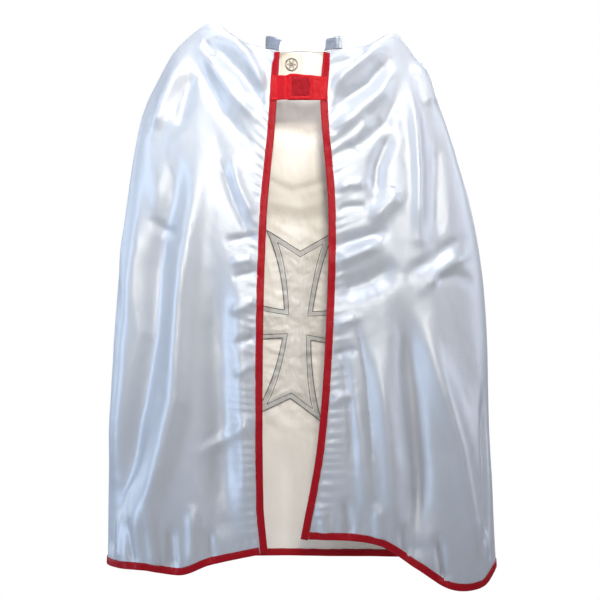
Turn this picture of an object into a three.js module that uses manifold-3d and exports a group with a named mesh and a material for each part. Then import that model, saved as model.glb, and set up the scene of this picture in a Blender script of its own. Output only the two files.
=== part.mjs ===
// Child's knight cape in white satin, bound in red, hanging open from its two shoulders.
// Millimetres, +Z up, the wearer's front towards -Y. The origin is the centre of the neck
// opening, at the height where the neckband is sewn to the fronts.
// Each side has its own sizes, because the cape doesn't hang evenly.

import * as THREE from "three";
import { mergeVertices } from "three/addons/utils/BufferGeometryUtils.js";
import Module from "manifold-3d";

const wasm = await Module();
wasm.setup();

// Cloth
const clothThickness = 1.2;
const clearance = 0.3; // between pieces that touch
const capeLength = 700; // neck seam to hem at the side

// Neck opening
const neckHalfDepth = 45;
const neckLean = 0.66; // radians that the fronts have turned from the front at the neck
const neckSideRise = 9;
const neckBackRise = 15;

// Body of the cape
const frontSpread = 20; // how much further forward the fronts hang at the hem than at the neck
const backDepth = 58;
const frontFlatShare = 0.66; // straight part of the front at the hem, of its width
const backFlatShare = 0.66;
const leanShare = 0.12; // of the way down, where the fronts face straight forward
const ridgeSag = 4; // sag of the cloth between neckband and shoulder
const roundRun = 1.25; // length of a round end along the cloth, for each unit of its width
const backFlatEnd = 0.3; // of the way down, where the back's straight part is at its full share
const backDepthEnd = 0.25; // of the way down, where the back is at its full depth

// Sides. Rows are [share of the way, value]: "fall" is the outline from shoulder to hem as
// shares of its width and height, "edge" the front edge's distance from the middle from neck
// to hem, and "hemLift" the hem's height above capeLength from front edge to side. "neckX"
// is where the neck seam meets the shoulder ridge.
const leftSide = {
  sign: -1,
  neckX: 47,
  shoulderX: 122,
  shoulderZ: 45,
  hemX: 266,
  fall: [[0.315, 0.041], [0.517, 0.104], [0.671, 0.173], [0.888, 0.456], [0.985, 0.8]],
  edge: [[0, 28.5], [0.15, 35], [0.33, 46], [0.6, 51], [0.9, 50.3], [1, 44.5]],
  hemLift: [[0, 24], [0.35, 8], [0.52, -5], [0.75, 1], [1, 1]],
};
const rightSide = {
  sign: 1,
  neckX: 58,
  shoulderX: 131,
  shoulderZ: 33,
  hemX: 271,
  fall: [[0.32, 0.081], [0.61, 0.223], [0.862, 0.447], [0.94, 0.77]],
  edge: [[0, 33], [0.1, 28.5], [0.33, 39.3], [0.6, 35], [0.82, 23.5], [1, 2]],
  hemLift: [[0, 43], [0.38, 35], [0.577, 3], [0.75, -25], [0.9, -24], [1, -3]],
};

// The fronts swing open about slanted folds, from under the closure out to the side hem
const foldTopDrop = 105;
const foldHemX = 190;
const foldParting = 0.8;

// Bias binding, a tape folded over the edges
const bindingWidth = 9;
const bindingWall = 0.8;

// Neckband
const neckbandThickness = 3;
const neckbandHeight = 18;
const neckbandBackHeight = 12;
const neckbandLift = 1.5;

// Closure: two tabs with hook-and-loop squares
const tabTop = 32; // below the neck seam
const tabHeight = 34;
const tabThickness = 1.2;
const tabSeam = 8; // width sewn down on the binding
const tabRadius = 2;
const leftTabReach = 17; // free end, past the middle
const rightTabReach = 17;
const rightTabRaise = 3;
const leftTabRamp = 11.5; // where the left tab climbs over the right one
const rightTabRoom = 2.5; // from the binding's edge to where the right tab bends
const hookSquare = 28;
const hookThickness = 1.6;
const loopThickness = 1.5;
const hookMargin = 2;

// Neck label
const labelWidth = 32;
const labelHeight = 31;
const labelThickness = 0.6;
const labelX = -12;
const labelDrop = 2.5; // below the back neck seam

// Cross on the back
const crossDrop = 372; // its centre below the neck seam
const crossReach = 136; // centre to the tips
const crossNotch = 106; // centre to the bottom of the notch in each arm's end
const crossTipHalf = 50;
const crossWaistHalf = 21;
const crossBendHalf = 27; // where the flank of an arm starts to flare
const crossBendReach = 85;
const crossBorder = 6.5;
const crossThickness = 0.9;

// How finely the surfaces are divided
const acrossSteps = 14;
const downSteps = 26;
const downPower = 1.35; // rows lie closer together towards the neck
const bandSteps = 7;
const armSteps = 6;
const labelSteps = [4, 6]; // down and across

// How places on the curved surfaces are found
const lineSteps = 600; // divisions that the side line's length is measured with
const probe = 0.005; // share of the way to either side, for the direction along an edge
const guard = 0.01; // least share of the way from an edge, where a direction is measured
const firstShare = 0.05; // where the search for a strip's width starts
const stripPasses = 6;
const placePasses = 40;

// Derived sizes
const halfCloth = clothThickness / 2;
const bindingReach = clearance + bindingWall; // how far the binding stands past an edge
const bindingHalf = halfCloth + bindingReach;
const sideTrim = 1.5 * clearance; // from the side line to the fronts and to the back

// ---- Curves -------------------------------------------------------------------------------

// Value at a share along rows of [share, value], smooth through every row.
function valueAt(rows, share) {
  const last = rows.length - 1;
  let i = 0;
  while (i < last - 1 && share > rows[i + 1][0]) i += 1;
  const slope = (k) => {
    const before = rows[Math.max(k - 1, 0)];
    const after = rows[Math.min(k + 1, last)];
    return (after[1] - before[1]) / (after[0] - before[0]);
  };
  const span = rows[i + 1][0] - rows[i][0];
  const t = (share - rows[i][0]) / span;
  const rise = (1 - t) * (1 - t) * (1 + 2 * t) * rows[i][1] + t * t * (3 - 2 * t) * rows[i + 1][1];
  const lean = t * (1 - t) * (1 - t) * slope(i) - t * t * (1 - t) * slope(i + 1);
  return rise + span * lean;
}

// Side line of the cape: along the shoulder ridge from the neck, then down to the side hem.
function sideLine(side) {
  const hemZ = valueAt(side.hemLift, 1) - capeLength;
  const ridgeX = (side.neckX + side.shoulderX) / 2;
  const ridgeZ = (neckSideRise + side.shoulderZ) / 2 - ridgeSag;
  const fall = side.fall.map(([x, z]) => new THREE.Vector3(
    THREE.MathUtils.lerp(side.shoulderX, side.hemX, x),
    0,
    THREE.MathUtils.lerp(side.shoulderZ, hemZ, z),
  ));
  const curve = new THREE.CatmullRomCurve3([
    new THREE.Vector3(side.neckX, 0, neckSideRise),
    new THREE.Vector3(ridgeX, 0, ridgeZ),
    new THREE.Vector3(side.shoulderX, 0, side.shoulderZ),
    ...fall,
    new THREE.Vector3(side.hemX, 0, hemZ),
  ]);
  curve.arcLengthDivisions = lineSteps;
  return curve;
}

leftSide.line = sideLine(leftSide);
rightSide.line = sideLine(rightSide);

// Plan section of half a face, from its middle or front edge (0) to the side line (1):
// straight at full depth, then a round end that covers the share "round" of the width. The
// round starts already turned by "lean" radians.
function planSection(share, round, lean) {
  const straight = 1 - round;
  const arc = round * roundRun;
  const run = share * (straight + arc);
  if (run <= straight) return { across: run, depth: 1 };
  const angle = THREE.MathUtils.lerp(lean, Math.PI / 2, (run - straight) / arc);
  const turned = (Math.sin(angle) - Math.sin(lean)) / (1 - Math.sin(lean));
  return { across: straight + round * turned, depth: Math.cos(angle) / Math.cos(lean) };
}

// Depth of the fronts at a height. It is linear, so the straight part of each front is flat.
function frontDepthAt(z) {
  return neckHalfDepth - (frontSpread * z) / capeLength;
}

// Point on a front: u runs from the front edge to the side line, v from the neck to the hem.
function frontPoint(side, u, v) {
  const flat = frontFlatShare * Math.max(0, (v - leanShare) / (1 - leanShare));
  const lean = neckLean * (1 - THREE.MathUtils.smoothstep(v, 0, leanShare));
  const { across, depth } = planSection(u, 1 - flat, lean);
  const line = side.line.getPointAt(v);
  const edgeHemZ = valueAt(side.hemLift, 0) - capeLength;
  const sideHemZ = valueAt(side.hemLift, 1) - capeLength;
  const hemZ = valueAt(side.hemLift, across) - capeLength;
  const hemWave = hemZ - THREE.MathUtils.lerp(edgeHemZ, sideHemZ, across);
  const z = THREE.MathUtils.lerp(v * edgeHemZ, line.z, across) + v ** 3 * hemWave;
  const x = THREE.MathUtils.lerp(valueAt(side.edge, v), line.x, across);
  return new THREE.Vector3(side.sign * x, -frontDepthAt(z) * depth, z);
}

// Point on the back: w runs from the left side line (-1) to the right one (1).
function backPoint(w, v) {
  const side = w < 0 ? leftSide : rightSide;
  const flat = backFlatShare * THREE.MathUtils.smoothstep(v, 0, backFlatEnd);
  const { across, depth } = planSection(Math.abs(w), 1 - flat, 0);
  const line = side.line.getPointAt(v);
  const middleZ = THREE.MathUtils.lerp(neckBackRise, -capeLength, v);
  const deepened = THREE.MathUtils.smoothstep(v, 0, backDepthEnd);
  const reach = THREE.MathUtils.lerp(neckHalfDepth, backDepth, deepened);
  return new THREE.Vector3(
    side.sign * line.x * across,
    reach * depth,
    THREE.MathUtils.lerp(middleZ, line.z, across),
  );
}

// ---- Solids -------------------------------------------------------------------------------

function signedVolume(points, triangles) {
  let volume = 0;
  for (const [a, b, c] of triangles) {
    volume += points[a].dot(new THREE.Vector3().crossVectors(points[b], points[c])) / 6;
  }
  return volume;
}

// Closed geometry from points and triangles, turned so that its faces point out.
function closedGeometry(points, triangles) {
  const outward = signedVolume(points, triangles) > 0;
  const index = triangles.flatMap(([a, b, c]) => (outward ? [a, b, c] : [a, c, b]));
  const geometry = new THREE.BufferGeometry().setFromPoints(points);
  geometry.setIndex(index);
  geometry.computeVertexNormals();
  return geometry;
}

// A closed sheet: a grid of mid-surface points, thickened half each way along its normals.
function sheetGeometry(grid, thickness) {
  const rows = grid.length;
  const columns = grid[0].length;
  const points = [];
  for (const face of [1, -1]) {
    for (let j = 0; j < rows; j += 1) {
      for (let i = 0; i < columns; i += 1) {
        const across = grid[j][Math.min(i + 1, columns - 1)].clone().sub(grid[j][Math.max(i - 1, 0)]);
        const down = grid[Math.min(j + 1, rows - 1)][i].clone().sub(grid[Math.max(j - 1, 0)][i]);
        const normal = across.cross(down).normalize();
        points.push(grid[j][i].clone().addScaledVector(normal, (face * thickness) / 2));
      }
    }
  }
  const at = (face, j, i) => face * rows * columns + j * columns + i;
  const triangles = [];
  const quad = (a, b, c, d) => triangles.push([a, b, c], [a, c, d]);
  for (let j = 0; j < rows - 1; j += 1) {
    for (let i = 0; i < columns - 1; i += 1) {
      quad(at(0, j, i), at(0, j, i + 1), at(0, j + 1, i + 1), at(0, j + 1, i));
      quad(at(1, j, i), at(1, j + 1, i), at(1, j + 1, i + 1), at(1, j, i + 1));
    }
  }
  for (let i = 0; i < columns - 1; i += 1) {
    quad(at(0, 0, i), at(1, 0, i), at(1, 0, i + 1), at(0, 0, i + 1));
    quad(at(0, rows - 1, i), at(0, rows - 1, i + 1), at(1, rows - 1, i + 1), at(1, rows - 1, i));
  }
  for (let j = 0; j < rows - 1; j += 1) {
    quad(at(0, j, 0), at(0, j + 1, 0), at(1, j + 1, 0), at(1, j, 0));
    quad(at(0, j, columns - 1), at(1, j, columns - 1), at(1, j + 1, columns - 1), at(0, j + 1, columns - 1));
  }
  return closedGeometry(points, triangles);
}

// A section carried along stations. Each station has an origin, two axes and a list of
// [along the first axis, along the second axis] points, as many at every station. The faces
// between two stations are split from low to high along the first axis.
function sweepGeometry(stations) {
  const sides = stations[0].section.length;
  const points = stations.flatMap(({ origin, first, second, section }) => section.map(([a, b]) => (
    origin.clone().addScaledVector(first, a).addScaledVector(second, b)
  )));
  const triangles = [];
  for (let s = 0; s < stations.length - 1; s += 1) {
    for (let k = 0; k < sides; k += 1) {
      const next = (k + 1) % sides;
      const a = s * sides + k;
      const b = s * sides + next;
      const rising = stations[s].section[k][0] <= stations[s].section[next][0];
      if (rising) triangles.push([a, b, b + sides], [a, b + sides, a + sides]);
      else triangles.push([a, b, a + sides], [b, b + sides, a + sides]);
    }
  }
  const outline = stations[0].section.map(([a, b]) => new THREE.Vector2(a, b));
  const clockwise = THREE.ShapeUtils.isClockWise(outline);
  const last = (stations.length - 1) * sides;
  for (const [a, b, c] of THREE.ShapeUtils.triangulateShape(outline, [])) {
    const start = clockwise ? [a, b, c] : [a, c, b];
    const [p, q, r] = capFacing(start, outline);
    triangles.push([p, r, q], [last + p, last + q, last + r]);
  }
  return closedGeometry(points, triangles);
}

// A cap triangle wound the same way round as the outline.
function capFacing([a, b, c], outline) {
  const along = outline[b].clone().sub(outline[a]);
  const turn = along.cross(outline[c].clone().sub(outline[a]));
  const clockwise = THREE.ShapeUtils.isClockWise(outline);
  return turn < 0 === clockwise ? [a, b, c] : [a, c, b];
}

// Folded tape over an edge: a U whose legs lie on both faces of the cloth.
function bindingSection() {
  const slot = halfCloth + clearance;
  return [
    [bindingWidth, bindingHalf], [-bindingReach, bindingHalf],
    [-bindingReach, -bindingHalf], [bindingWidth, -bindingHalf],
    [bindingWidth, -slot], [-clearance, -slot],
    [-clearance, slot], [bindingWidth, slot],
  ];
}

// Tape along an edge, from the edge points and, for each, a point a little way into the
// cloth. The legs follow the lines between them and are bindingWidth wide, square to the edge.
function bindingGeometry(edge, inner) {
  const section = bindingSection();
  const stations = edge.map((origin, i) => {
    const along = edge[Math.min(i + 1, edge.length - 1)].clone().sub(edge[Math.max(i - 1, 0)]).normalize();
    const first = inner[i].clone().sub(origin).normalize();
    const second = along.cross(first);
    const squareness = second.length();
    return { origin, first: first.divideScalar(squareness), second: second.normalize(), section };
  });
  return sweepGeometry(stations);
}

// Flat plate with round corners, seen from the front, between two depths.
function plateGeometry(left, right, bottom, top, front, back, radius) {
  const shape = new THREE.Shape();
  shape.moveTo(left + radius, bottom);
  shape.lineTo(right - radius, bottom);
  shape.absarc(right - radius, bottom + radius, radius, -Math.PI / 2, 0, false);
  shape.lineTo(right, top - radius);
  shape.absarc(right - radius, top - radius, radius, 0, Math.PI / 2, false);
  shape.lineTo(left + radius, top);
  shape.absarc(left + radius, top - radius, radius, Math.PI / 2, Math.PI, false);
  shape.lineTo(left, bottom + radius);
  shape.absarc(left + radius, bottom + radius, radius, Math.PI, 1.5 * Math.PI, false);
  return standingExtrusion(shape, front, back);
}

// A shape drawn in X and Z, extruded from one depth to another along Y.
function standingExtrusion(shape, front, back) {
  const geometry = new THREE.ExtrudeGeometry(shape, {
    depth: back - front, bevelEnabled: false, curveSegments: 4,
  });
  geometry.rotateX(Math.PI / 2);
  geometry.translate(0, back, 0);
  return geometry;
}

function toManifold(geometry) {
  const bare = geometry.clone();
  bare.deleteAttribute("normal");
  bare.deleteAttribute("uv");
  const welded = mergeVertices(bare, 1e-4);
  return new wasm.Manifold(new wasm.Mesh({
    numProp: 3,
    vertProperties: new Float32Array(welded.attributes.position.array),
    triVerts: new Uint32Array(welded.index.array),
  }));
}

function fromManifold(solid) {
  const { vertProperties, triVerts } = solid.getMesh();
  const geometry = new THREE.BufferGeometry();
  geometry.setAttribute("position", new THREE.BufferAttribute(new Float32Array(vertProperties), 3));
  geometry.setIndex(new THREE.BufferAttribute(new Uint32Array(triVerts), 1));
  geometry.computeVertexNormals();
  return geometry;
}

// ---- Fold lines of the fronts --------------------------------------------------------------

// Top and bottom of a front's fold, as [x, z] in the front view.
function foldEnds(side) {
  const topShare = foldTopDrop / (capeLength - valueAt(side.hemLift, 0));
  return {
    top: new THREE.Vector2(side.sign * valueAt(side.edge, topShare), -foldTopDrop),
    bottom: new THREE.Vector2(side.sign * foldHemX, -capeLength),
  };
}

// Big block on one side of a fold: the side of the front edge (1) or of the side line (-1).
function foldBlock(side, towardsEdge) {
  const { top, bottom } = foldEnds(side);
  const size = 2 * capeLength;
  const down = bottom.clone().sub(top).normalize();
  const shift = towardsEdge * (size / 2 + foldParting / 2);
  const out = new THREE.Vector2(-down.y, down.x).multiplyScalar(side.sign === -1 ? 1 : -1);
  const centre = top.clone().add(bottom).multiplyScalar(0.5).addScaledVector(out, shift);
  const block = new THREE.BoxGeometry(size, size, size);
  block.rotateY(Math.atan2(-out.y, out.x));
  block.translate(centre.x, 0, centre.y);
  return block;
}

function foldHalf(geometry, side, towardsEdge) {
  const block = toManifold(foldBlock(side, towardsEdge));
  return fromManifold(toManifold(geometry).intersect(block));
}

// ---- Pieces -------------------------------------------------------------------------------

const steps = (count) => Array.from({ length: count + 1 }, (_, i) => i / count);

// Row of a grid, with its outer points stopped short of the side line.
function trimmedRow(row, trimStart, trimEnd) {
  const short = (end, before) => {
    const back = before.clone().sub(end);
    return end.clone().addScaledVector(back, sideTrim / back.length());
  };
  const last = row.length - 1;
  if (trimStart) row[0] = short(row[0], row[1]);
  if (trimEnd) row[last] = short(row[last], row[last - 1]);
  return row;
}

// Share of the way in from an edge that the binding covers, square to the edge. pointAt
// gives the surface at a share inwards and a share along the edge from where it starts.
function boundShare(pointAt) {
  const target = bindingWidth + 2 * clearance;
  const along = pointAt(0, probe).sub(pointAt(0, -probe)).normalize();
  let share = firstShare;
  for (let pass = 0; pass < stripPasses; pass += 1) {
    const inwards = pointAt(share, 0).sub(pointAt(0, 0));
    share *= target / inwards.cross(along).length();
  }
  return share;
}

// Shares from the bound edge inwards: one strip as wide as the binding, then even steps.
function sharesFromEdge(bound, count, power = 1) {
  return [0, ...steps(count - 1).map((s) => 1 - (1 - bound) * (1 - s) ** power)];
}

// Grid of a front, from neck to hem and from the front edge to the side line.
function frontGrid(side) {
  const rows = Array.from({ length: downSteps + 1 }, () => []);
  for (let j = 0; j <= downSteps; j += 1) {
    const level = (j / downSteps) ** downPower;
    const middle = THREE.MathUtils.clamp(level, guard, 1 - guard);
    const bound = boundShare((u, slip) => frontPoint(side, u, middle + slip));
    sharesFromEdge(bound, acrossSteps).forEach((u) => {
      const centre = THREE.MathUtils.clamp(u, guard, 1 - guard);
      const hemBound = boundShare((s, slip) => frontPoint(side, centre + slip, 1 - s));
      const up = sharesFromEdge(hemBound, downSteps, downPower);
      rows[j].push(frontPoint(side, u, 1 - up[downSteps - j]));
    });
  }
  return rows.map((row) => trimmedRow(row, false, true));
}

// Grid of the back, from neck to hem and from the left side line to the right one.
function backGrid() {
  const rows = Array.from({ length: downSteps + 1 }, () => []);
  for (const w of steps(2 * acrossSteps).map((s) => 2 * s - 1)) {
    const centre = THREE.MathUtils.clamp(w, guard - 1, 1 - guard);
    const hemBound = boundShare((s, slip) => backPoint(centre + slip, 1 - s));
    const up = sharesFromEdge(hemBound, downSteps, downPower);
    rows.forEach((row, j) => row.push(backPoint(w, 1 - up[downSteps - j])));
  }
  return rows.map((row) => trimmedRow(row, true, true));
}

// Binding down a front edge, just past the hem at its lower end.
function edgeBindingGeometry(grid) {
  const edge = grid.map((row) => row[0].clone());
  const inner = grid.map((row) => row[1].clone());
  const last = edge.length - 1;
  const onward = edge[last].clone().sub(edge[last - 1]).normalize().multiplyScalar(bindingReach);
  edge[last].add(onward);
  inner[last].add(onward);
  return bindingGeometry(edge, inner);
}

// Binding along a hem, from the given column of the grid to its end.
function hemBindingGeometry(grid, startColumn) {
  const last = grid.length - 1;
  const edge = grid[last].slice(startColumn);
  const inner = grid[last - 1].slice(startColumn);
  return bindingGeometry(edge, inner);
}

// Neckband: a low standing wall on the neck seam, from one front edge round to the other.
function neckbandGeometry() {
  const seam = [
    ...steps(bandSteps).map((u) => frontPoint(leftSide, u, 0)),
    ...steps(2 * bandSteps).slice(1, -1).map((s) => backPoint(2 * s - 1, 0)),
    ...steps(bandSteps).reverse().map((u) => frontPoint(rightSide, u, 0)),
  ];
  const half = neckbandThickness / 2;
  const stations = seam.map((point, i) => {
    const along = seam[Math.min(i + 1, seam.length - 1)].clone().sub(seam[Math.max(i - 1, 0)]);
    along.setZ(0).normalize();
    const backShare = THREE.MathUtils.smoothstep(point.y, 0, neckHalfDepth);
    const top = neckbandLift + THREE.MathUtils.lerp(neckbandHeight, neckbandBackHeight, backShare);
    return {
      origin: point,
      first: new THREE.Vector3(along.y, -along.x, 0),
      second: new THREE.Vector3(0, 0, 1),
      section: [[-half, neckbandLift], [half, neckbandLift], [half, top], [-half, top]],
    };
  });
  return sweepGeometry(stations);
}

// ---- Closure ------------------------------------------------------------------------------

function edgeXAt(side, z) {
  const share = -z / (capeLength - valueAt(side.hemLift, 0));
  return side.sign * valueAt(side.edge, share);
}

const tabTopZ = -tabTop;
const tabBottomZ = tabTopZ - tabHeight;
const tabMiddleZ = (tabTopZ + tabBottomZ) / 2;
const leftEdgeX = edgeXAt(leftSide, tabMiddleZ);
const rightEdgeX = edgeXAt(rightSide, tabMiddleZ);

// Depths from the bindings outwards: right tab, loop square, hook square, left tab
const bindingFaceY = -(frontDepthAt(tabBottomZ) + bindingHalf);
const rightTabBackY = bindingFaceY - clearance;
const rightTabFrontY = rightTabBackY - tabThickness;
const loopBackY = rightTabFrontY - clearance;
const loopFrontY = loopBackY - loopThickness;
const hookBackY = loopFrontY - clearance;
const hookFrontY = hookBackY - hookThickness;
const leftTabBackY = hookFrontY - clearance;
const leftTabFrontY = leftTabBackY - tabThickness;

// Hinge lines of the two tabs
const leftTabHingeX = leftEdgeX + leftTabRamp;
const rightTabHingeX = rightEdgeX - rightTabRoom;

// Sewn end of the left tab, which climbs from the binding to the front of the stack.
function leftTabEndGeometry() {
  const start = leftEdgeX - tabSeam;
  const end = leftTabHingeX - clearance;
  const climb = (x) => THREE.MathUtils.lerp(
    rightTabFrontY, leftTabFrontY, THREE.MathUtils.smoothstep(x, leftEdgeX - clearance, end),
  );
  const xs = steps(acrossSteps).map((s) => THREE.MathUtils.lerp(start, end, s));
  const grid = [tabTopZ, tabBottomZ].map((z) => xs.map((x) => (
    new THREE.Vector3(x, climb(x) + tabThickness / 2, z)
  )));
  return sheetGeometry(grid, tabThickness);
}

function leftTabGeometry() {
  const start = leftTabHingeX + clearance;
  return plateGeometry(start, leftTabReach, tabBottomZ, tabTopZ, leftTabFrontY, leftTabBackY, tabRadius);
}

function rightTabEndGeometry() {
  const start = rightTabHingeX + clearance;
  const end = rightEdgeX + tabSeam;
  return plateGeometry(start, end, tabBottomZ, tabTopZ, rightTabFrontY, rightTabBackY, clearance);
}

function rightTabGeometry() {
  const end = rightTabHingeX - clearance;
  const top = tabTopZ + rightTabRaise;
  return plateGeometry(-rightTabReach, end, tabBottomZ, top, rightTabFrontY, rightTabBackY, tabRadius);
}

// A hook or loop square at the free end of the left tab.
function squareGeometry(front, back) {
  const right = leftTabReach - hookMargin;
  const bottom = tabMiddleZ - hookSquare / 2;
  return plateGeometry(right - hookSquare, right, bottom, bottom + hookSquare, front, back, tabRadius / 2);
}

// ---- Label and cross ----------------------------------------------------------------------

// Point of the back at a given X and height, found by closing in on it.
function backPointAt(x, z) {
  const side = x < 0 ? leftSide : rightSide;
  let w = firstShare;
  let v = (neckBackRise - z) / (capeLength + neckBackRise);
  for (let pass = 0; pass < placePasses; pass += 1) {
    const here = backPoint(side.sign * w, v);
    w = THREE.MathUtils.clamp((w * Math.abs(x)) / Math.max(Math.abs(here.x), 1e-6), 0, 1);
    v = THREE.MathUtils.clamp(v + (here.z - z) / capeLength, 0, 1);
  }
  return backPoint(side.sign * w, v);
}

// Label on the inner face of the back, just under the neck seam.
function labelGeometry() {
  const top = neckBackRise - labelDrop;
  const inset = halfCloth + 2 * clearance + labelThickness / 2;
  const [rows, columns] = labelSteps;
  const grid = steps(rows).map((down) => steps(columns).map((across) => {
    const x = labelX + (across - 0.5) * labelWidth;
    const point = backPointAt(x, top - down * labelHeight);
    return point.setY(point.y - inset);
  }));
  return sheetGeometry(grid, labelThickness);
}

// Right half of the upper arm, set in by "inset": its curved flank, its tip and its notch.
function halfArm(inset) {
  const waist = crossWaistHalf - inset;
  const bend = new THREE.Vector2(crossBendHalf, crossBendReach);
  const tip = new THREE.Vector2(crossTipHalf, crossReach);
  const notch = new THREE.Vector2(0, crossNotch);
  const toBend = bend.clone().sub(tip).normalize();
  const toNotch = notch.clone().sub(tip).normalize();
  const inward = toBend.clone().add(toNotch).normalize();
  const mitre = inset / Math.abs(toBend.cross(inward));
  const flank = new THREE.QuadraticBezierCurve(
    new THREE.Vector2(waist, waist),
    new THREE.Vector2(bend.x - inset, bend.y),
    tip.clone().addScaledVector(inward, mitre),
  );
  notch.y -= inset / Math.abs(toNotch.x);
  return { flank: flank.getPoints(armSteps), notch };
}

// Outline of the whole cross, set in by "inset": the upper arm, turned round four times.
function crossOutline(inset) {
  const { flank, notch } = halfArm(inset);
  const mirrored = flank.slice(1).reverse().map((p) => new THREE.Vector2(-p.x, p.y));
  const arm = [...flank, notch, ...mirrored];
  return [0, 1, 2, 3].flatMap((turn) => arm.map((p) => (
    p.clone().rotateAround(new THREE.Vector2(), (turn * Math.PI) / 2)
  )));
}

function crossGeometry(insetOuter, insetInner, front, back) {
  const place = (p) => new THREE.Vector2(p.x, p.y - crossDrop);
  const shape = new THREE.Shape(crossOutline(insetOuter).map(place));
  if (insetInner !== null) {
    shape.holes.push(new THREE.Path(crossOutline(insetInner).map(place)));
  }
  return standingExtrusion(shape, front, back);
}

// ---- Assembly -----------------------------------------------------------------------------

const satin = { color: 0xe4e8f2, roughness: 0.35, metalness: 0 };
const ivory = { color: 0xe8e2d6, roughness: 0.45, metalness: 0 };
const red = { color: 0xc8202c, roughness: 0.4, metalness: 0 };
const darkRed = { color: 0x9c1824, roughness: 0.9, metalness: 0 };
const silver = { color: 0xa9adb5, roughness: 0.5, metalness: 0 };

const cape = new THREE.Group();

function add(name, geometry, finish) {
  const mesh = new THREE.Mesh(geometry, new THREE.MeshStandardMaterial(finish));
  mesh.name = name;
  cape.add(mesh);
}

for (const [name, side] of [["left", leftSide], ["right", rightSide]]) {
  const grid = frontGrid(side);
  const front = sheetGeometry(grid, clothThickness);
  const edge = edgeBindingGeometry(grid);
  const hem = hemBindingGeometry(grid, 1);
  add(`front_${name}_side`, foldHalf(front, side, -1), satin);
  add(`front_${name}_flap`, foldHalf(front, side, 1), satin);
  add(`edge_binding_${name}_upper`, foldHalf(edge, side, -1), red);
  add(`edge_binding_${name}_lower`, foldHalf(edge, side, 1), red);
  add(`hem_binding_${name}_side`, foldHalf(hem, side, -1), red);
  add(`hem_binding_${name}_front`, foldHalf(hem, side, 1), red);
}
const rearGrid = backGrid();
add("back_panel", sheetGeometry(rearGrid, clothThickness), satin);
add("hem_binding_back", hemBindingGeometry(rearGrid, 0), red);
add("neckband", neckbandGeometry(), satin);

add("closure_tab_left_end", leftTabEndGeometry(), red);
add("closure_tab_left", leftTabGeometry(), red);
add("closure_tab_right_end", rightTabEndGeometry(), red);
add("closure_tab_right", rightTabGeometry(), red);
add("hook_square", squareGeometry(hookFrontY, hookBackY), darkRed);
add("loop_square", squareGeometry(loopFrontY, loopBackY), darkRed);

add("neck_label", labelGeometry(), ivory);

const innerFaceY = backDepth - halfCloth - clearance;
const outerFaceY = backDepth + halfCloth + clearance;
const outerTopY = outerFaceY + crossThickness;
const appliqueInset = crossBorder + clearance;
add("cross_backing", crossGeometry(0, null, innerFaceY - crossThickness, innerFaceY), ivory);
add("cross_applique", crossGeometry(appliqueInset, null, outerFaceY, outerTopY), red);
add("cross_border", crossGeometry(0, crossBorder, outerFaceY, outerTopY), silver);

export default cape;
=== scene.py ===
import math
import bmesh
import bpy
import numpy as np
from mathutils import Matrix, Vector


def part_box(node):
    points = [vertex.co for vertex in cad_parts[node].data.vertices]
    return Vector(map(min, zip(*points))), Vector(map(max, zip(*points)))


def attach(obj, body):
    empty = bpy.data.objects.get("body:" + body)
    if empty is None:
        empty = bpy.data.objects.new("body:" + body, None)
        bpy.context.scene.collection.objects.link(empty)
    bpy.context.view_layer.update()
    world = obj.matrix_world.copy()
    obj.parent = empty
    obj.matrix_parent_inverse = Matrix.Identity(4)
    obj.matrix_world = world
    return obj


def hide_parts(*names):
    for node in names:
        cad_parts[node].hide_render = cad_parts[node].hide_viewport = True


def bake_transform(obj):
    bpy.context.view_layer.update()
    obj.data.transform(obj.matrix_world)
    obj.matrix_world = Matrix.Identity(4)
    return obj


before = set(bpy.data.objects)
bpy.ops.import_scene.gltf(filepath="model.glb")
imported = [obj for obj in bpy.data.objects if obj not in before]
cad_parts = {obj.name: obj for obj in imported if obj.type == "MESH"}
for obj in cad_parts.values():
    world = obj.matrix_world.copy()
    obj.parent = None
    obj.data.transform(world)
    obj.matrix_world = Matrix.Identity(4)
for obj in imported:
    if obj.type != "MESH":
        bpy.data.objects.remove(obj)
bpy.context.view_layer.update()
print("frame loaded")

# Lengths are in millimetres until a mesh is made. The wearer's front is towards -Y.

body = {
    "length": 700,        # neck seam to hem
    "neckDepth": 45,      # from the middle to the front and back of the neck
    "neckLean": 0.66,     # radians by which a front has turned already at its neck edge
    "neckSideRise": 9,    # the neck seam at the sides, above its front
    "neckBackRise": 15,   # and at the back
    "frontSpread": 20,    # how much further forward the hem of a front stands
    "backDepth": 58,      # from the middle to the back, below the shoulders
    "frontFlat": 0.66,    # flat share of a front's width at the hem
    "backFlat": 0.66,
    "leanShare": 0.12,    # share of the length over which the lean goes
    "ridgeSag": 4,        # dip between neck and shoulder
}

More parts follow.
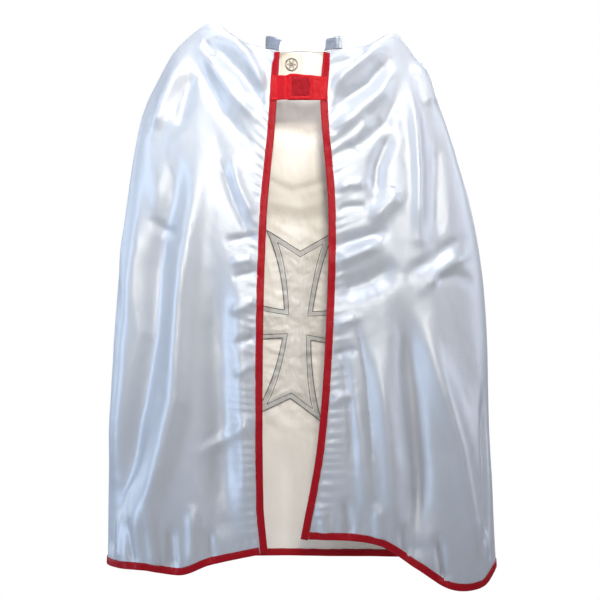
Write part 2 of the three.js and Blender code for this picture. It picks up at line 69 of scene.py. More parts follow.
# fall: the side line's share of the way out and of the way down, from shoulder to hem.
# edge: share of the length and x of the front edge. hemLift: share of the width and height above
# the length. foldTop and foldBottom: the slanted fold about which the flap swings, as (x, z).
sides = {
    "left": {
        "sign": -1, "neckX": 47, "shoulderX": 122, "shoulderZ": 45, "hemX": 266,
        "fall": [(0.315, 0.041), (0.517, 0.104), (0.671, 0.173), (0.888, 0.456), (0.985, 0.8)],
        "edge": [(0, 28.5), (0.15, 35), (0.33, 46), (0.6, 51), (0.9, 50.3), (1, 44.5)],
        "hemLift": [(0, 24), (0.35, 8), (0.52, -5), (0.75, 1), (1, 1)],
        "foldTop": (-35.3, -105), "foldBottom": (-190, -700),
    },
    "right": {
        "sign": 1, "neckX": 58, "shoulderX": 131, "shoulderZ": 33, "hemX": 271,
        "fall": [(0.32, 0.081), (0.61, 0.223), (0.862, 0.447), (0.94, 0.77)],
        "edge": [(0, 33), (0.1, 28.5), (0.33, 39.3), (0.6, 35), (0.82, 23.5), (1, 2)],
        "hemLift": [(0, 43), (0.38, 35), (0.577, 3), (0.75, -25), (0.9, -24), (1, -3)],
        "foldTop": (30.8, -105), "foldBottom": (190, -700),
    },
}

# Folds of the cloth: path as (x, z), height outwards, width, and True where it is a sharp crease
leftFolds = [
    ([(-117, 27), (-94, 17), (-73, -3), (-58, -30), (-48, -57)], 4.5, 7),  # peak ridge
    ([(-130, 25), (-112, 7), (-83, -24), (-51, -65)], -6, 9),  # under the peak ridge
    ([(-133, 23), (-126, 13), (-117, -3)], -5, 5, True),  # peak pleat
    ([(-140, 16), (-118, -16), (-91, -57), (-61, -89)], 3.5, 8),  # second radiating ridge
    ([(-151, 8), (-130, -34), (-105, -81), (-73, -121)], -3.5, 9),  # second radiating valley
    ([(-156, 3), (-172, -30), (-187, -63), (-202, -108)], 5, 10),  # shoulder streak
    ([(-145, -14), (-156, -61), (-167, -101)], -4, 10),  # shoulder hollow
    ([(-152, -101), (-167, -162), (-180, -219), (-195, -292), (-199, -381), (-215, -471),
      (-235, -561), (-260, -666)], -9, 15),  # main valley
    ([(-129, -94), (-137, -162), (-151, -246), (-163, -336), (-170, -471), (-191, -561),
      (-219, -646), (-226, -702)], 8, 16),  # main ridge
    ([(-215, -135), (-223, -229), (-234, -336), (-245, -471), (-252, -579)], 4, 12),  # outer ridge
    ([(-118, -269), (-113, -377), (-105, -498), (-100, -632)], -6, 20),  # broad valley
    ([(-83, -269), (-81, -390), (-77, -511), (-73, -646)], 4, 14),  # inner ridge
    ([(-112, -141), (-93, -195), (-70, -250)], -3, 4, True),  # thin crease
    ([(-97, -135), (-81, -189), (-61, -229)], 2.5, 7),  # soft crease beside it
    ([(-105, -257), (-81, -254), (-57, -249)], -2.6, 5),  # edge ripple a
    ([(-97, -285), (-78, -284), (-63, -281)], 2.6, 6),  # edge ripple b
    ([(-94, -306), (-73, -302), (-55, -296)], -2.6, 5),  # edge ripple c
    ([(-100, -353), (-81, -347), (-58, -336)], 3, 8),  # edge ripple d
    ([(-94, -398), (-78, -393), (-59, -385)], -2.4, 6),  # edge ripple e
    ([(-91, -439), (-77, -431), (-61, -423)], 2, 6),  # edge ripple f
    ([(-250, -612), (-246, -659), (-241, -694)], 3.5, 7),  # hem fold a
    ([(-231, -626), (-227, -666), (-223, -697)], -3, 6),  # hem fold b
    ([(-202, -606), (-199, -659), (-195, -702)], 3.5, 8),  # hem fold c
    ([(-175, -632), (-172, -670), (-170, -702)], -3.5, 7),  # hem fold d
    ([(-145, -606), (-144, -659), (-143, -697)], 3, 8),  # hem fold e
    ([(-124, -639), (-120, -666), (-117, -689)], -2.5, 6),  # hem fold f
    ([(-51, -491), (-81, -511), (-128, -541)], 2.2, 9),  # waist cross fold
    ([(-209, -222), (-188, -240), (-164, -250)], -2.5, 7),  # arm cross fold
]
rightFolds = [
    ([(125, 17), (97, 0), (61, -30), (43, -49)], 4.5, 7),  # peak ridge
    ([(122, 3), (118, -14), (94, -41), (48, -71)], -7, 9),  # under the peak ridge
    ([(38, -19), (67, -6), (94, 5)], -2.5, 4, True),  # neck crease
    ([(133, -14), (110, -54), (70, -89), (43, -109)], 5, 10),  # second radiating ridge
    ([(137, -47), (118, -94), (81, -124), (48, -143)], -4, 9),  # second radiating valley
    ([(97, -84), (83, -110), (70, -135)], 3, 12),  # upper crown
    ([(159, 0), (172, -34), (180, -74)], 4, 12),  # shoulder round
    ([(145, -22), (156, -81), (161, -162), (161, -253)], 5, 9),  # shoulder streak
    ([(129, -94), (116, -128), (105, -155), (101, -195)], -5, 10),  # hollow beside the streak
    ([(186, -94), (188, -175), (186, -256)], -4, 12),  # outer hollow
    ([(94, -234), (110, -215), (135, -191)], 4, 11),  # oval
    ([(124, -241), (81, -253), (48, -263)], -4.2, 8),  # waist crease
    ([(114, -258), (75, -275), (48, -285)], 4.2, 8),  # waist streak
    ([(137, -285), (94, -312), (51, -326)], -6, 16),  # dark hollow
    ([(129, -316), (144, -381), (153, -471), (159, -565), (157, -666)], -10, 17),  # great valley
    ([(161, -336), (178, -404), (196, -471), (215, -538), (231, -632),
      (239, -719)], 8, 16),  # great ridge
    ([(100, -377), (113, -471), (121, -565), (126, -666)], 5, 15),  # inner ridge
    ([(231, -245), (191, -271), (148, -302)], -2.6, 8),  # side crease a
    ([(245, -312), (215, -304), (180, -308)], -2.2, 8),  # side crease b
    ([(239, -269), (202, -288), (168, -320)], 3, 8),  # side soft ridge
    ([(71, -336), (89, -437), (98, -545)], -2.8, 5, True),  # thin fall a
    ([(50, -377), (67, -471), (73, -565)], -2, 6),  # thin fall b
    ([(61, -417), (83, -525), (89, -646)], 3, 12),  # broad fall
    ([(252, -437), (253, -538), (254, -686)], -4.5, 5),  # edge pleat
    ([(24, -606), (30, -632), (35, -657)], 2.5, 6),  # hem fold a
    ([(61, -599), (65, -632), (67, -659)], -3, 7),  # hem fold b
    ([(105, -606), (105, -639), (105, -663)], 3, 8),  # hem fold c
    ([(135, -632), (137, -659), (140, -686)], -3, 6),  # hem fold d
    ([(186, -646), (190, -686), (194, -719)], -4, 8),  # hem fold e
    ([(252, -646), (245, -686), (241, -713)], 3, 6),  # hem fold f
    ([(44, -215), (67, -210), (91, -210)], -2, 5),  # edge ripple a
    ([(46, -189), (67, -180), (89, -178)], 2.4, 6),  # edge ripple b
    ([(43, -377), (61, -366), (78, -361)], 2.4, 6),  # edge ripple c
    ([(40, -417), (57, -406), (75, -404)], -2.2, 6),  # edge ripple d
    ([(38, -478), (54, -468), (70, -466)], 2, 6),  # edge ripple e
]
backFolds = [
    ([(-86, -148), (-11, -183), (64, -160)], 3, 7),  # neck sag
    ([(-93, -214), (0, -228), (93, -211)], 4, 11),  # over the cross
    ([(-86, -188), (0, -205), (86, -185)], -3, 9),  # between them
    ([(-23, -508), (-27, -593), (-30, -696)], 2.5, 12),  # inner fall a
    ([(0, -522), (3, -607), (4, -696)], -2.5, 12),  # inner fall b
    ([(-105, 30), (-135, -110), (-165, -300), (-190, -500), (-205, -700)], 8, 20),  # left shoulder fall
    ([(-75, 20), (-95, -120), (-105, -220)], -6, 18),  # left inner hollow
    ([(-165, -420), (-160, -560), (-165, -700)], -6, 18),  # left lower hollow
    ([(-100, -500), (-110, -600), (-118, -700)], 6, 20),  # left lower fall
    ([(-62, -530), (-66, -620), (-70, -700)], -5, 16),  # left centre hollow
    ([(-14, -520), (-16, -610), (-20, -700)], 5, 18),  # centre fall
    ([(30, -525), (34, -610), (38, -700)], -5, 16),  # right centre hollow
    ([(88, -505), (96, -600), (104, -700)], 6, 20),  # right lower fall
    ([(148, -430), (150, -560), (158, -700)], -6, 18),  # right lower hollow
    ([(112, 20), (140, -110), (172, -300), (196, -500), (212, -700)], 8, 20),  # right shoulder fall
    ([(80, 10), (98, -120), (108, -215)], -6, 18),  # right inner hollow
    ([(-92, 0), (-40, -46), (10, -58), (60, -44), (100, -4)], -3.5, 13),  # upper sag
    ([(-100, -30), (-40, -92), (10, -104), (60, -90), (106, -34)], 3.5, 14),  # lower sag
    ([(-205, -250), (-222, -450), (-236, -700)], 5, 14),  # left outer fall
    ([(205, -240), (226, -450), (240, -700)], 5, 14),  # right outer fall
]

cloth = {
    "across": 150,         # grid columns of a front
    "backAcross": 190,     # grid columns of the back
    "down": 250,           # grid rows of both
    "tapeColumns": 4,      # columns and rows that lie under a binding
    "tapeWidth": 9.6,      # how wide these are together
    "thickness": 0.5,
    "foldScale": 1.75,     # of the fronts' folds
    "backScale": 1.15,     # of the back's folds
    "puckerHeight": 1.05,  # beside the bound edges
    "puckerPitch": 12.5,
    "puckerReach": 12,
    "hemPuckers": 0.9,     # share of that height at the hems
    # soft waves and crumples: height, slant of x by z, slant of z by x, size across and down
    "frontWaves": [(2.0, 0.25, 0, 24, 150), (0.2, 0.4, -0.3, 9, 17), (0.1, -0.5, 0, 5, 9)],
    "backWaves": [(1.4, 0, 0, 30, 170)],
    "backCrumples": [(0.2, 0.4, -0.3, 10, 18)],
}

binding = {"width": 9, "outer": 1.5, "inner": 0.55, "reach": 1.1, "pucker": 0.28, "stitchAt": 7.5}


# Smooth curve through rows of (share, value): a cubic whose slope at a row comes from its neighbours.
def valueAt(rows, share):
    s, v = np.array(rows, float).T
    slope = np.empty_like(v)
    slope[1:-1] = (v[2:] - v[:-2]) / (s[2:] - s[:-2])
    slope[0] = (v[1] - v[0]) / (s[1] - s[0])
    slope[-1] = (v[-1] - v[-2]) / (s[-1] - s[-2])
    i = np.clip(np.searchsorted(s, share, side="left") - 1, 0, len(s) - 2)
    span = s[i + 1] - s[i]
    t = (share - s[i]) / span
    rise = (1 - t) ** 2 * (1 + 2 * t) * v[i] + t * t * (3 - 2 * t) * v[i + 1]
    return rise + span * (t * (1 - t) ** 2 * slope[i] - t * t * (1 - t) * slope[i + 1])


# 3t^2 - 2t^3 between low and high.
def smoothStep(value, low, high):
    t = np.clip((value - low) / (high - low), 0, 1)
    return t * t * (3 - 2 * t)


def mix(a, b, t):
    return a + (b - a) * t


# Vectors brought to length 1.
def unit(v):
    return v / np.maximum(np.linalg.norm(v, axis=-1, keepdims=True), 1e-9)


# Vectors less their part along a line, brought to length 1.
def squareTo(v, along):
    return unit(v - along * np.sum(v * along, -1, keepdims=True))


# Lengths along a line, from its first point.
def lineRun(points):
    return np.concatenate([[0], np.cumsum(np.linalg.norm(np.diff(points, axis=0), axis=1))])


# Points at an even step along a path.
def evenPoints(path, step, more=0, least=2):
    run = lineRun(path)
    at = np.linspace(0, run[-1], max(int(run[-1] / step) + more, least))
    return [np.interp(at, run, values) for values in np.array(path, float).T]


# Outline from neck over the shoulder to the side hem: a Catmull-Rom curve whose knots are spaced
# by the root of the distance between its points. Gives length shares, x and z.
def sideLine(side):
    hemZ = valueAt(side["hemLift"], 1.0) - body["length"]
    points = [
        (side["neckX"], body["neckSideRise"]),
        ((side["neckX"] + side["shoulderX"]) / 2,
         (body["neckSideRise"] + side["shoulderZ"]) / 2 - body["ridgeSag"]),
        (side["shoulderX"], side["shoulderZ"]),
    ]
    points += [(mix(side["shoulderX"], side["hemX"], a), mix(side["shoulderZ"], hemZ, b))
               for a, b in side["fall"]]
    points.append((side["hemX"], hemZ))
    p = np.array(points, float)
    p = np.vstack([2 * p[0] - p[1], p, 2 * p[-1] - p[-2]])
    step = np.sqrt(np.linalg.norm(np.diff(p, axis=0), axis=1))[:, None]
    a, b, c, d = p[:-3], p[1:-2], p[2:-1], p[3:]
    s0, s1, s2 = step[:-2], step[1:-1], step[2:]
    start = ((b - a) / s0 - (c - a) / (s0 + s1) + (c - b) / s1) * s1
    end = ((c - b) / s1 - (d - b) / (s1 + s2) + (d - c) / s2) * s1
    t = np.linspace(0, 1, 300)[None, :, None]
    b, c, start, end = (q[:, None, :] for q in (b, c, start, end))
    line = b + start * t + (3 * (c - b) - 2 * start - end) * t ** 2 + (2 * (b - c) + start + end) * t ** 3
    line = line.reshape(-1, 2)
    run = lineRun(line)
    return run / run[-1], line[:, 0], line[:, 1]


for side in sides.values():
    side["line"] = sideLine(side)


# Half a plan section: straight at full depth, then a quarter round over the share "roundShare"
# of the width, which starts already turned by "lean" radians.
def planSection(share, roundShare, lean):
    straight = 1 - roundShare
    arc = roundShare * 1.25
    run = share * (straight + arc)
    angle = mix(lean, math.pi / 2, np.clip((run - straight) / arc, 0, 1))
    turned = (np.sin(angle) - np.sin(lean)) / (1 - np.sin(lean))
    across = np.where(run <= straight, run, straight + roundShare * turned)
    depth = np.where(run <= straight, 1.0, np.cos(angle) / np.cos(lean))
    return across, depth


# Front: u from the front edge to the side line, v from neck to hem.
def frontPoint(side, u, v):
    flat = body["frontFlat"] * np.maximum(0, (v - body["leanShare"]) / (1 - body["leanShare"]))
    lean = body["neckLean"] * (1 - smoothStep(v, 0, body["leanShare"]))
    across, depth = planSection(u, 1 - flat, lean)
    share, lineX, lineZ = side["line"]
    edgeZ = valueAt(side["hemLift"], 0.0) - body["length"]
    sideZ = valueAt(side["hemLift"], 1.0) - body["length"]
    wave = valueAt(side["hemLift"], across) - body["length"] - mix(edgeZ, sideZ, across)
    z = mix(v * edgeZ, np.interp(v, share, lineZ), across) + v ** 3 * wave
    x = mix(valueAt(side["edge"], v), np.interp(v, share, lineX), across)
    y = -(body["neckDepth"] - body["frontSpread"] * z / body["length"]) * depth
    return np.stack([side["sign"] * x, y, z], -1)


# Back: w from the left side line (-1) to the right one (1), v from neck to hem.
def backPoint(w, v):
    flat = body["backFlat"] * smoothStep(v, 0, 0.3)
    across, depth = planSection(np.abs(w), 1 - flat, 0.0)
    left, right = sides["left"]["line"], sides["right"]["line"]
    lineX, lineZ = (np.where(w < 0, np.interp(v, left[0], left[k]), np.interp(v, right[0], right[k]))
                    for k in (1, 2))
    reach = mix(body["neckDepth"], body["backDepth"], smoothStep(v, 0, 0.25))
    middleZ = mix(body["neckBackRise"], -body["length"], v)
    return np.stack([np.sign(w) * lineX * across, reach * depth, mix(middleZ, lineZ, across)], -1)


# Random heights on a lattice, joined by smooth steps.
def softNoise(x, z, cellX, cellZ, seed):
    heights = np.random.default_rng(seed).uniform(-1, 1, (64, 64))
    a, b = x / cellX, z / cellZ
    i, j = np.floor(a).astype(int), np.floor(b).astype(int)
    fa, fb = a - i, b - j
    fa, fb = fa * fa * (3 - 2 * fa), fb * fb * (3 - 2 * fb)
    near = mix(heights[i % 64, j % 64], heights[(i + 1) % 64, j % 64], fa)
    far = mix(heights[i % 64, (j + 1) % 64], heights[(i + 1) % 64, (j + 1) % 64], fa)
    return mix(near, far, fb)


# Adds such noises to a height, one for each row of (height, slants, sizes), with a seed each.
def addWaves(height, x, z, rows, seed):
    for k, (size, slantX, slantZ, cellX, cellZ) in enumerate(rows):
        height = height + size * softNoise(x + slantX * z, z + slantZ * x, cellX, cellZ, seed + k)
    return height


# Distance from points (x, z) to a line of points, and the share along it where it is nearest.
def pathDistance(x, z, path):
    p = np.array(path, float)
    lengths = np.linalg.norm(np.diff(p, axis=0), axis=1)
    before = np.concatenate([[0], np.cumsum(lengths)])
    best = np.full(np.shape(x), 1e9)
    share = np.zeros(np.shape(x))
    for k, length in enumerate(lengths):
        dx, dz = (p[k + 1] - p[k]) / length
        t = np.clip((x - p[k, 0]) * dx + (z - p[k, 1]) * dz, 0, length)
        gap = np.hypot(x - p[k, 0] - t * dx, z - p[k, 1] - t * dz)
        share = np.where(gap < best, (before[k] + t) / before[-1], share)
        best = np.minimum(best, gap)
    return best, share


# Sum of the folds: each is height * exp(-(distance / width)^2), or a sharper exp(-distance / width)
# for a crease. It grows over the first third of its path and sinks to a third at its end.
def foldHeight(x, z, folds):
    total = np.zeros(np.shape(x))
    for path, height, width, *sharp in folds:
        gap, share = pathDistance(x, z, path)
        fade = smoothStep(share, 0, 0.36) * mix(0.3, 1, smoothStep(1 - share, 0, 0.2))
        profile = np.exp(-gap / (0.8 * width)) if sharp else np.exp(-(gap / width) ** 2)
        total += height * fade * profile
    return total


# Lengths along a grid's rows or columns, from its first point.
def runAlong(points, axis):
    steps = np.linalg.norm(np.diff(points, axis=axis), axis=-1)
    run = np.cumsum(steps, axis=axis)
    return np.concatenate([np.zeros_like(np.take(run, [0], axis)), run], axis)


# Unit normals of a grid of points: the cross product of its two directions, turned to face "out".
def gridNormals(points, out):
    n = unit(np.cross(np.gradient(points, axis=1), np.gradient(points, axis=0)))
    middle = n[n.shape[0] // 2, n.shape[1] // 3]
    return n if middle @ np.array(out, float) > 0 else -n


# Share of the way in, at which a strip "width" wide ends, found by closing in on it.
def stripShare(pointAt, width, like):
    share = np.full(np.shape(like), 0.04)
    along = unit(pointAt(0 * share, 0.004) - pointAt(0 * share, -0.004))
    for _ in range(6):
        inwards = pointAt(share, 0) - pointAt(0 * share, 0)
        share = share * width / np.linalg.norm(np.cross(inwards, along), axis=-1)
    return share


# Puckers that run away from a bound edge: a sine along the edge with a wandering phase, which
# rises just past the binding and dies away over puckerReach.
def puckers(along, away, seed):
    phase = 2 * math.pi * along / cloth["puckerPitch"] + 3 * softNoise(along, 0 * along, 38, 10, seed)
    size = 0.45 + 1.1 * softNoise(along, away, 31, 60, seed + 1) ** 2
    rise = 0.1 + 0.9 * smoothStep(away, binding["width"] + 0.5, binding["width"] + 8)
    fade = np.exp(-np.maximum(away - binding["width"] - 5, 0) / cloth["puckerReach"])
    return cloth["puckerHeight"] * np.sin(phase) * size * rise * fade


# The same puckers along the hem of a grid.
def hemPuckers(p, seed):
    along = np.repeat(runAlong(p[-1:], 1), p.shape[0], 0)
    return cloth["hemPuckers"] * puckers(along, runAlong(p[::-1], 0)[::-1], seed)


# Makes the strips under the bindings straight across, so that the tape lies on both faces.
def flattenStrips(p, sideStrip):
    k = cloth["tapeColumns"]
    t = np.linspace(0, 1, k + 1)
    if sideStrip:
        p[:, :k + 1] = mix(p[:, :1], p[:, k:k + 1], t[None, :, None])
    p[-k - 1:] = mix(p[-k - 1:-k], p[-1:], t[:, None, None])
    return p


# Shares from neck to hem for a grid's rows, of which the last ones lie in the strip under the
# hem's binding.
def hemRows(rows, pointAt, u):
    k = cloth["tapeColumns"]
    centre = np.clip(u, -0.99, 0.99)
    strip = stripShare(lambda s, slip: pointAt(centre + slip, 1 - s), cloth["tapeWidth"], centre)
    v = (rows[:, None] / rows[-1 - k]) * (1 - strip)
    v[-k - 1:] = mix(1 - strip[-k - 1:], 1.0, np.linspace(0, 1, k + 1)[:, None])
    return v


# Grid of a front with its folds: base surface plus folds, waves, crumples and puckers along the
# normal, all of which calm down at the neck, the side line and the closure.
def frontCloth(side, folds, seed):
    k = cloth["tapeColumns"]
    rows = np.linspace(0, 1, cloth["down"] + 1) ** 1.08
    level = np.clip(rows, 0.01, 0.99)
    bound = stripShare(lambda u, slip: frontPoint(side, u, level + slip), cloth["tapeWidth"],
                       level)[:, None]
    u = np.hstack([bound * np.linspace(0, 1, k + 1)[:-1],
                   mix(bound, 1.0, np.linspace(0, 1, cloth["across"] + 1 - k))])
    v = hemRows(rows, lambda a, b: frontPoint(side, a, b), np.maximum(u, 0.01))
    p = frontPoint(side, u, v)
    x, z, away = p[..., 0], p[..., 2], runAlong(p, 1)
    height = addWaves(cloth["foldScale"] * foldHeight(x, z, folds), x, z, cloth["frontWaves"], seed)
    height += puckers(np.repeat(runAlong(p[:, :1], 0), p.shape[1], 1), away, seed + 3)
    height += hemPuckers(p, seed + 5)
    closure = (1 - smoothStep(away, 14, 30)) * smoothStep(z, -84, -72) * (1 - smoothStep(z, -24, -12))
    calm = smoothStep(v, 0, 0.035) * (1 - smoothStep(u, 0.93, 1)) * (1 - closure)
    return flattenStrips(p + gridNormals(p, (0, -1, 0)) * (height * calm)[..., None], True)


# Height of the back's folds as seen from behind, calmer where the cross stiffens the cloth.
def backHeight(x, z, seed=41):
    height = addWaves(cloth["backScale"] * foldHeight(x, z, backFolds), x, z, cloth["backWaves"], seed)
    height = addWaves(height * (1 - 0.8 * crossPresence(x, z)), x, z, cloth["backCrumples"], seed + 1)
    return height + quiltHeight(x, z)


# Grid of the back with its folds.
def backCloth():
    rows = np.linspace(0, 1, cloth["down"] + 1) ** 1.04
    w = np.linspace(-1, 1, cloth["backAcross"] + 1)[None] * np.ones((len(rows), 1))
    v = hemRows(rows, backPoint, w)
    p = backPoint(w, v)
    height = backHeight(p[..., 0], p[..., 2]) + hemPuckers(p, 61)
    calm = smoothStep(v, 0, 0.05) * (1 - smoothStep(np.abs(w), 0.93, 1))
    return flattenStrips(p + gridNormals(p, (0, 1, 0)) * (height * calm)[..., None], False)


cross = {
    "drop": 372, "reach": 136, "notch": 106, "tipHalf": 50, "waistHalf": 21, "bendHalf": 27,
    "bendReach": 85, "border": 6.5, "steps": 26, "thickness": 0.7, "band": 7.0,
    "quilt": [(1.1, 0.5, 0, 15, 11), (0.55, -0.6, 0, 7, 6)],   # waves, as for the cloth
    "shift": -3.4, "lean": 3.75, "leanRise": -1.75,   # mm, degrees, and degrees per 110 mm of height
}


# Point of the cloth under a point of the cross: turned clockwise by an angle that grows downwards.
def crossPlace(cx, cz):
    turn = np.radians(cross["lean"] + cross["leanRise"] * cz / 110)
    x = cross["shift"] + cx * np.cos(turn) + cz * np.sin(turn)
    return x, -cross["drop"] - cx * np.sin(turn) + cz * np.cos(turn)


# Point of the cross over a point of the cloth: the turning undone, with the angle of that height.
def crossFrom(x, z):
    dx, dz = x - cross["shift"], z + cross["drop"]
    turn = np.radians(cross["lean"] + cross["leanRise"] * dz / 110)
    return dx * np.cos(turn) - dz * np.sin(turn), dx * np.sin(turn) + dz * np.cos(turn)


# Right flank of the upper arm, set in by "inset": a quadratic Bezier from the waist to the tip.
def crossFlank(t, inset=0.0):
    waist = np.array([cross["waistHalf"] - inset] * 2, float)
    bend = np.array([cross["bendHalf"] - inset, cross["bendReach"]], float)
    tip = np.array([cross["tipHalf"], cross["reach"]], float)
    corner = np.array([0.0, cross["notch"]])
    real = np.array([cross["bendHalf"], cross["bendReach"]], float) - tip
    toBend = real / np.linalg.norm(real)
    toNotch = (corner - tip) / np.linalg.norm(corner - tip)
    inward = (toBend + toNotch) / np.linalg.norm(toBend + toNotch)
    tip = tip + inward * inset / abs(toBend[0] * inward[1] - toBend[1] * inward[0])
    notch = cross["notch"] - inset / abs(toNotch[0])
    t = np.asarray(t, float)[..., None]
    return (1 - t) ** 2 * waist + 2 * t * (1 - t) * bend + t ** 2 * tip, notch


# Closed outline of the cross about its own centre, with so many points to a flank.
def crossOutline(inset, steps):
    flank, notch = crossFlank(np.linspace(0, 1, steps), inset)
    arm = np.vstack([flank, [[0, notch]], (flank * [-1, 1])[:0:-1]])
    quarters = []
    for _ in range(4):
        quarters.append(arm)
        arm = np.stack([-arm[:, 1], arm[:, 0]], -1)
    return np.vstack(quarters + [quarters[0][:1]])


# Distance to the outline of the cross, and length along it at the nearest point, both from
# places given about the centre of the cross.
def outlineDistance(cx, cz):
    outline = crossOutline(0.0, 10)
    gap, share = pathDistance(cx, cz, outline)
    return gap, share * lineRun(outline)[-1]


# 1 on the cross and near its outline, falling to 0 over 45 mm around it.
def crossPresence(x, z):
    cx, cz = np.abs(crossFrom(x, z))
    inArm = np.maximum(np.maximum(cx, cz) - cross["reach"], np.minimum(cx, cz) - 36)
    return 1 - smoothStep(inArm, -5, 40)


# Puckers that the stitching of the cross draws into the cloth: across its outline, and softly inside.
def quiltHeight(x, z):
    near = np.maximum(np.abs(x), np.abs(z + cross["drop"])) < cross["reach"] + 40
    height = np.zeros(np.shape(x))
    gap, along = outlineDistance(*crossFrom(x[near], z[near]))
    wave = np.sin(2 * math.pi * along / 13 + 3 * softNoise(along, 0 * along, 30, 10, 71))
    height[near] = 0.55 * wave * np.exp(-(gap / 10) ** 2) - 0.7 * np.exp(-((gap - 12) / 3) ** 2)
    return height + addWaves(0, x, z, cross["quilt"], 73) * crossPresence(x, z)


# Cross-shaped grids: a middle square and four arms. An arm runs from its waist (s = 0) to its
# notched end (s = 1), and across from one flank (t = -1) to the other (t = 1).
def crossGrids(inset):
    n = cross["steps"]
    t = np.linspace(-1, 1, n + 1)
    s = np.linspace(0, 1, 2 * n + 1)
    flank, notch = crossFlank(s, inset)
    waist = cross["waistHalf"] - inset
    grids = [np.stack(np.meshgrid(waist * t, waist * t), -1)]
    arm = np.stack([t * flank[:, :1], mix(mix(waist, notch, s)[:, None], flank[:, 1:], np.abs(t))], -1)
    for _ in range(4):
        grids.append(arm)
        arm = np.stack([-arm[..., 1], arm[..., 0]], -1)
    return grids


# A patch of mesh from a grid of points; "around" joins its last column to its first. The map is
# the length along the two directions, in metres.
def gridPatch(points, around=False, finish=0, flip=False):
    rows, columns = points.shape[:2]
    closed = np.concatenate([points, points[:, :1]], 1) if around else points
    u = runAlong(closed, 1).mean(0)[None] * np.ones((rows, 1))
    v = runAlong(closed, 0).mean(1)[:, None] * np.ones((1, closed.shape[1]))
    uv = np.stack([u, v], -1) / 1000
    j, i = np.meshgrid(np.arange(rows - 1), np.arange(closed.shape[1] - 1), indexing="ij")
    corners = [(j, i), (j, i + 1), (j + 1, i + 1), (j + 1, i)]
    if flip:
        corners = corners[::-1]
    quads = np.stack([a * columns + b % columns for a, b in corners], -1).reshape(-1, 4)
    maps = np.stack([uv[a, b] for a, b in corners], 2).reshape(-1, 2)
    return {"points": points.reshape(-1, 3), "quads": quads, "uv": maps,
            "finish": np.full(len(quads), finish)}


# Many small closed rings of points (copies, rows, points round): a tube for each copy.
def tubePatches(rings, finish=0):
    count, rows, around = rings.shape[:3]
    j, i = np.meshgrid(np.arange(rows - 1), np.arange(around), indexing="ij")
    corners = [(j, i), (j, (i + 1) % around), (j + 1, (i + 1) % around), (j + 1, i)]
    tube = np.stack([a * around + b for a, b in corners], -1).reshape(-1, 4)
    quads = (tube + (np.arange(count) * rows * around)[:, None, None]).reshape(-1, 4)
    return {"points": rings.reshape(-1, 3), "quads": quads, "uv": np.zeros((quads.size, 2)),
            "finish": np.full(len(quads), finish)}


# One mesh object out of several patches. "weld" closes seams and poles, "turnOut" makes the faces
# point outwards, and "lined" gives a sheet its thickness and its second finish on the inside.
def makeMesh(name, patches, looks, weld=False, turnOut=False, lined=False):
    start = np.cumsum([0] + [len(p["points"]) for p in patches])
    points = np.vstack([p["points"] for p in patches]) / 1000
    quads = np.vstack([p["quads"] + s for p, s in zip(patches, start)])
    mesh = bpy.data.meshes.new(name)
    mesh.vertices.add(len(points))
    mesh.vertices.foreach_set("co", points.astype(np.float32).ravel())
    mesh.loops.add(quads.size)
    mesh.loops.foreach_set("vertex_index", quads.astype(np.int32).ravel())
    mesh.polygons.add(len(quads))
    mesh.polygons.foreach_set("loop_start", np.arange(0, quads.size, 4, dtype=np.int32))
    finishAt = np.concatenate([p["finish"] for p in patches])
    mesh.polygons.foreach_set("material_index", finishAt.astype(np.int32))
    mesh.polygons.foreach_set("use_smooth", np.ones(len(quads), bool))
    mesh.update(calc_edges=True)
    layer = mesh.uv_layers.new(name="cloth")
    layer.data.foreach_set("uv", np.vstack([p["uv"] for p in patches]).astype(np.float32).ravel())
    obj = bpy.data.objects.new(name, mesh)
    bpy.context.scene.collection.objects.link(obj)
    for look in looks:
        mesh.materials.append(finishes[look])
    if weld or turnOut:
        work = bmesh.new()
        work.from_mesh(mesh)
        if weld:
            bmesh.ops.remove_doubles(work, verts=work.verts, dist=2e-6)
        if turnOut:
            bmesh.ops.recalc_face_normals(work, faces=work.faces)
        work.to_mesh(mesh)
        work.free()
        mesh.update()
    if lined:
        thick = obj.modifiers.new("thickness", "SOLIDIFY")
        thick.thickness = cloth["thickness"] / 1000
        thick.offset = 0
        thick.use_even_offset = False
        thick.material_offset = 1
    return obj


# Unit tangents along a line of points.
def tangents(line):
    return unit(np.gradient(line, axis=0))


# A closed section carried along a line: point = origin + a * first + b * second. The section is two
# facing sides of as many points, so its ends close with a ladder of faces between the sides.
def sweep(origin, first, second, sideA, sideB):
    section = np.concatenate([sideA, sideB[:, ::-1]], 1)
    points = origin[:, None] + section[..., :1] * first[:, None] + section[..., 1:] * second[:, None]
    patch = gridPatch(points, around=True)
    count = section.shape[1]
    i = np.arange(count // 2 - 1)
    ladder = np.stack([i, count - 1 - i, count - 2 - i, i + 1], -1)
    last = (len(origin) - 1) * count
    caps = np.vstack([ladder, ladder[:, ::-1] + last])
    patch["quads"] = np.vstack([patch["quads"], caps])
    patch["uv"] = np.vstack([patch["uv"], np.zeros((caps.size, 2))])
    patch["finish"] = np.zeros(len(patch["quads"]), int)
    return patch


